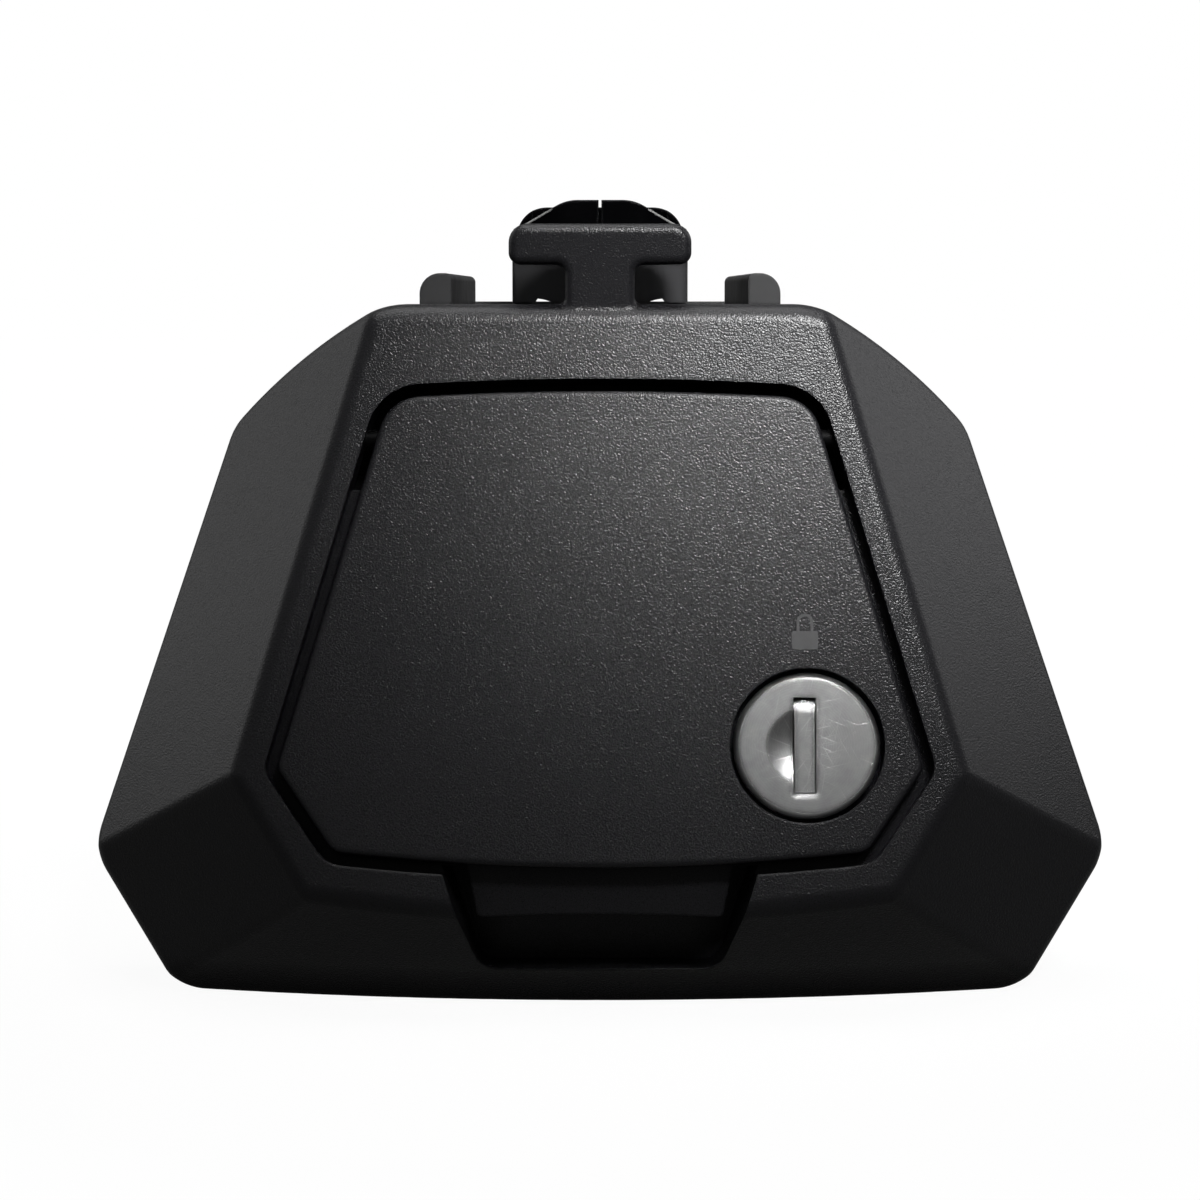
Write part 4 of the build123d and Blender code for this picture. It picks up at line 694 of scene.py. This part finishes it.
polished, tree, shader, place = new_finish("polished_sign")
cloud = noise(tree, place, SIGN_CELLS, 2.0)
colour = tones(tree, cloud, (0.3, SIGN_DARK), (0.7, SIGN_PALE))
feed(tree, shader, Base_Color=colour, Roughness=span(tree, cloud, 0.3, 0.7, *SIGN_ROUGH))
inset = SIGN_W / 2 - SIGN_CORNER
foot = -SIGN_H / 2
brow = foot + SIGN_BODY_H
body = []
for corner_x, corner_y, start in (
    (inset, foot + SIGN_CORNER, -90),
    (inset, brow - SIGN_CORNER, 0),
    (-inset, brow - SIGN_CORNER, 90),
    (-inset, foot + SIGN_CORNER, 180),
):
    body += arc(corner_x, corner_y, SIGN_CORNER, start, start + 90, SIGN_ARC // 4)
outer_r = SHACKLE_R + SHACKLE_BAR / 2
inner_r = SHACKLE_R - SHACKLE_BAR / 2
crown = SIGN_H / 2 - SHACKLE_R - SHACKLE_BAR / 2
shackle = [(outer_r, brow)] + arc(0, crown, outer_r, 0, 180, SIGN_ARC) + [(-outer_r, brow)]
shackle += [(-inner_r, brow)] + arc(0, crown, inner_r, 180, 0, SIGN_ARC) + [(inner_r, brow)]
shape = bmesh.new()
raised(shape, body, SIGN_PROUD)
raised(shape, shackle, SIGN_PROUD)
right = Vector((1, 0, 0))
face_out = -lock_in
face_up = face_out.cross(right)
stand = Matrix((right, face_up, face_out)).transposed().to_4x4()
spot = lock_at + SIGN_OVER_LOCK * face_up + SIGN_ASIDE * right - SIGN_SUNK * face_out
shape.transform(Matrix.Translation(spot) @ stand)
settle(shape, "padlock_sign", polished, "flap", "grained_plastic")


# Lock: a die-cast zinc cylinder with satin nickel plate, its face turned and lightly tumbled, so it shows
# faint rings and stray scratches in all directions. Its bevel ring and edges are painted in the brightest
# nickel, partly a brighter turned bevel and partly painted highlight. A small sprung shutter of the
# same metal closes the key slot and sits a hair below the face.
NICKEL_DARK = (0.23, 0.23, 0.23)
NICKEL = (0.45, 0.45, 0.448)
# Painted highlight: the brightest nickel, given to the bevel ring and the edges.
NICKEL_HIGHLIGHT = (0.82, 0.82, 0.81)
NICKEL_ROUGH = (0.36, 0.26)
NICKEL_EDGE = 1.2 * MM
EDGE_SMOOTHS = 0.12
BEVEL_HIGHLIGHT_FROM = (9.15 * MM, 9.30 * MM)
SCRATCH_TURNS = (12.0, 38.0, 77.0, 112.0, 151.0)
SCRATCH_CELLS = (5200.0, 1.0, 150.0)
SCRATCH_SHARE = 0.22
SCRATCH_DEPTH = 0.006 * MM
RING_CELLS = 900.0
RING_WAVER = 2.5
RING_SHARE = 0.05
RING_DEPTH_SHARE = 0.3
SMUDGE_CELLS = 260.0
nickel, tree, shader, place = new_finish("satin_nickel")
about = add(tree, "Mapping", Vector=place, Location=-lock_at).outputs["Vector"]
scratch = 0.0
for turn in SCRATCH_TURNS:
    line = streaks(tree, about, SCRATCH_CELLS, 0.0, turn=(0, turn, 0))
    scratch = combine(tree, "MAXIMUM", scratch, span(tree, line, 0.72, 0.82))
rings = add(
    tree, "TexWave", {"wave_type": "RINGS", "rings_direction": "Y"},
    Vector=about, Scale=RING_CELLS, Distortion=RING_WAVER, Detail=1.0,
).outputs["Fac"]
smudge = noise(tree, about, SMUDGE_CELLS, 4.0, 0.6)
soft, edge = rounded_edges(tree, NICKEL_EDGE)
# Painted highlight: the ring beyond the face's radius, and the edges, take the brightest nickel.
bevel_highlight = span(tree, combine(tree, "LENGTH", about, kind="VectorMath"), *BEVEL_HIGHLIGHT_FROM)
level = span(tree, smudge, 0.25, 0.75, 0.12, 0.5)
for mark, share in ((rings, RING_SHARE), (scratch, SCRATCH_SHARE)):
    level = combine(tree, "ADD", level, combine(tree, "MULTIPLY", mark, share))
for turned in (edge, bevel_highlight):
    level = combine(tree, "MAXIMUM", level, turned)
colour = tones(tree, level, (0.0, NICKEL_DARK), (0.5, NICKEL), (1.0, NICKEL_HIGHLIGHT))
smoothed = combine(tree, "MULTIPLY", edge, EDGE_SMOOTHS)
dull = combine(tree, "SUBTRACT", span(tree, smudge, 0.2, 0.8, *NICKEL_ROUGH), smoothed)
feed(tree, shader, Base_Color=colour, Roughness=dull, Metallic=1.0)
marks = combine(tree, "ADD", scratch, combine(tree, "MULTIPLY", rings, RING_DEPTH_SHARE))
relief(tree, shader, marks, -SCRATCH_DEPTH, soft)
dress(nickel, "lock_cylinder", "key_shutter")


# Studio: a plain pale floor, a soft lamp behind each side that catches the sloping facets, one overhead,
# and a softbox with a grid above the camera to the right, aimed at the top of the flap. The camera sees
# floor and surround as white; clear reflections see the same, dimmer, and the floor keeps the shadow.
WHITE = (1.0, 1.0, 1.0, 1.0)
FLOOR_HALF = 8.0
FLOOR_GAP = 0.05 * MM
FLOOR_PALE = (0.08, 0.08, 0.08, 1.0)
FLOOR_ROUGH = 0.9
FLOOR_GLOW = (0.95, 1.0)
FLOOR_FADE = (0.12, 0.30)
FLOOR_MIRRORED = 0.08
SURROUND = 0.03
MIRRORED = (0.05, 0.22)
HORIZON = (0.05, 0.35)
OPEN_LAMP = 180.0
LAMPS = {
    "rear_left": ((-0.55, 0.25, 0.30), (-0.03, -0.03, 0.05), (0.35, 0.45), 0.34, OPEN_LAMP),
    "rear_right": ((0.55, 0.25, 0.38), (0.03, -0.03, 0.05), (0.35, 0.45), 0.57, OPEN_LAMP),
    "overhead": ((0.0, -0.06, 0.55), (0.0, -0.03, 0.08), (0.40, 0.40), 1.4, OPEN_LAMP),
    "gridded_key": ((0.088, -0.2720, 0.284), (0.034, -0.032, 0.094), (0.10, 0.08), 0.068, 28.0),
}


def shown(tree, dim, bright, mirrored):
    """What a pale ground gives: dim light on the piece, bright to the camera, a share of it in gloss."""
    path = add(tree, "LightPath").outputs
    straight = combine(tree, "MAXIMUM", path["Is Camera Ray"], path["Is Transmission Ray"])
    gloss = combine(tree, "MULTIPLY", path["Is Glossy Ray"], mirrored)
    seen = combine(tree, "MULTIPLY", combine(tree, "MAXIMUM", straight, gloss), bright)
    return combine(tree, "MAXIMUM", seen, dim)


def soft_lamp(name, place, aim, size, watts, spread):
    """An oblong soft lamp aimed at a point; a smaller spread in degrees is a grid in front of it."""
    light = bpy.data.lights.new(name, "AREA")
    light.shape = "RECTANGLE"
    light.size, light.size_y = size
    light.energy = watts
    light.spread = math.radians(spread)
    lamp = bpy.data.objects.new(name, light)
    lamp.location = place
    lamp.rotation_euler = (Vector(aim) - Vector(place)).to_track_quat("-Z", "Y").to_euler()
    lamp.visible_camera = False
    bpy.context.collection.objects.link(lamp)


pale_floor, tree, shader, place = new_finish("pale_floor")
glow = span(tree, combine(tree, "LENGTH", place, kind="VectorMath"), *FLOOR_FADE, *FLOOR_GLOW)
feed(tree, shader, Base_Color=FLOOR_PALE, Roughness=FLOOR_ROUGH, Specular_IOR_Level=0.0)
feed(tree, shader, Emission_Color=WHITE, Emission_Strength=shown(tree, 0.0, glow, FLOOR_MIRRORED))
floor_z = cad_low.z - FLOOR_GAP
corners = [(x * FLOOR_HALF, y * FLOOR_HALF, floor_z) for x, y in ((-1, -1), (1, -1), (1, 1), (-1, 1))]
floor_mesh = bpy.data.meshes.new("floor")
floor_mesh.from_pydata(corners, [], [(0, 1, 2, 3)])
floor_mesh.materials.append(pale_floor)
floor = bpy.data.objects.new("floor", floor_mesh)
bpy.context.collection.objects.link(floor)

world = bpy.data.worlds.new("surround")
world.use_nodes = True
tree = world.node_tree
tree.nodes.clear()
height = add(tree, "SeparateXYZ", Vector=add(tree, "TexCoord").outputs["Generated"]).outputs["Z"]
share = span(tree, height, *HORIZON, *MIRRORED)
sky = add(tree, "Background", Color=WHITE, Strength=shown(tree, SURROUND, 1.0, share))
add(tree, "OutputWorld", Surface=sky.outputs["Background"])
bpy.context.scene.world = world

for name, settings in LAMPS.items():
    soft_lamp(name, *settings)


# Camera: straight in front of the foot, level with its top and looking down a little.
# A long lens on a square frame, so the facets stay nearly parallel, as in the photograph.
CAMERA_AT = (0.0, -0.4643, 0.098)
CAMERA_DOWN = 5.44
CAMERA_LENS = 93.24
CAMERA_FILM = 36.0
CAMERA_NEAR = 0.01
camera = bpy.data.objects.new("camera", bpy.data.cameras.new("camera"))
camera.location = CAMERA_AT
camera.rotation_euler = (math.radians(90 - CAMERA_DOWN), 0, 0)
camera.data.lens = CAMERA_LENS
camera.data.sensor_width = CAMERA_FILM
camera.data.sensor_height = CAMERA_FILM
camera.data.clip_start = CAMERA_NEAR
bpy.context.collection.objects.link(camera)
bpy.context.scene.camera = camera
bpy.context.scene.view_settings.view_transform = "Standard"
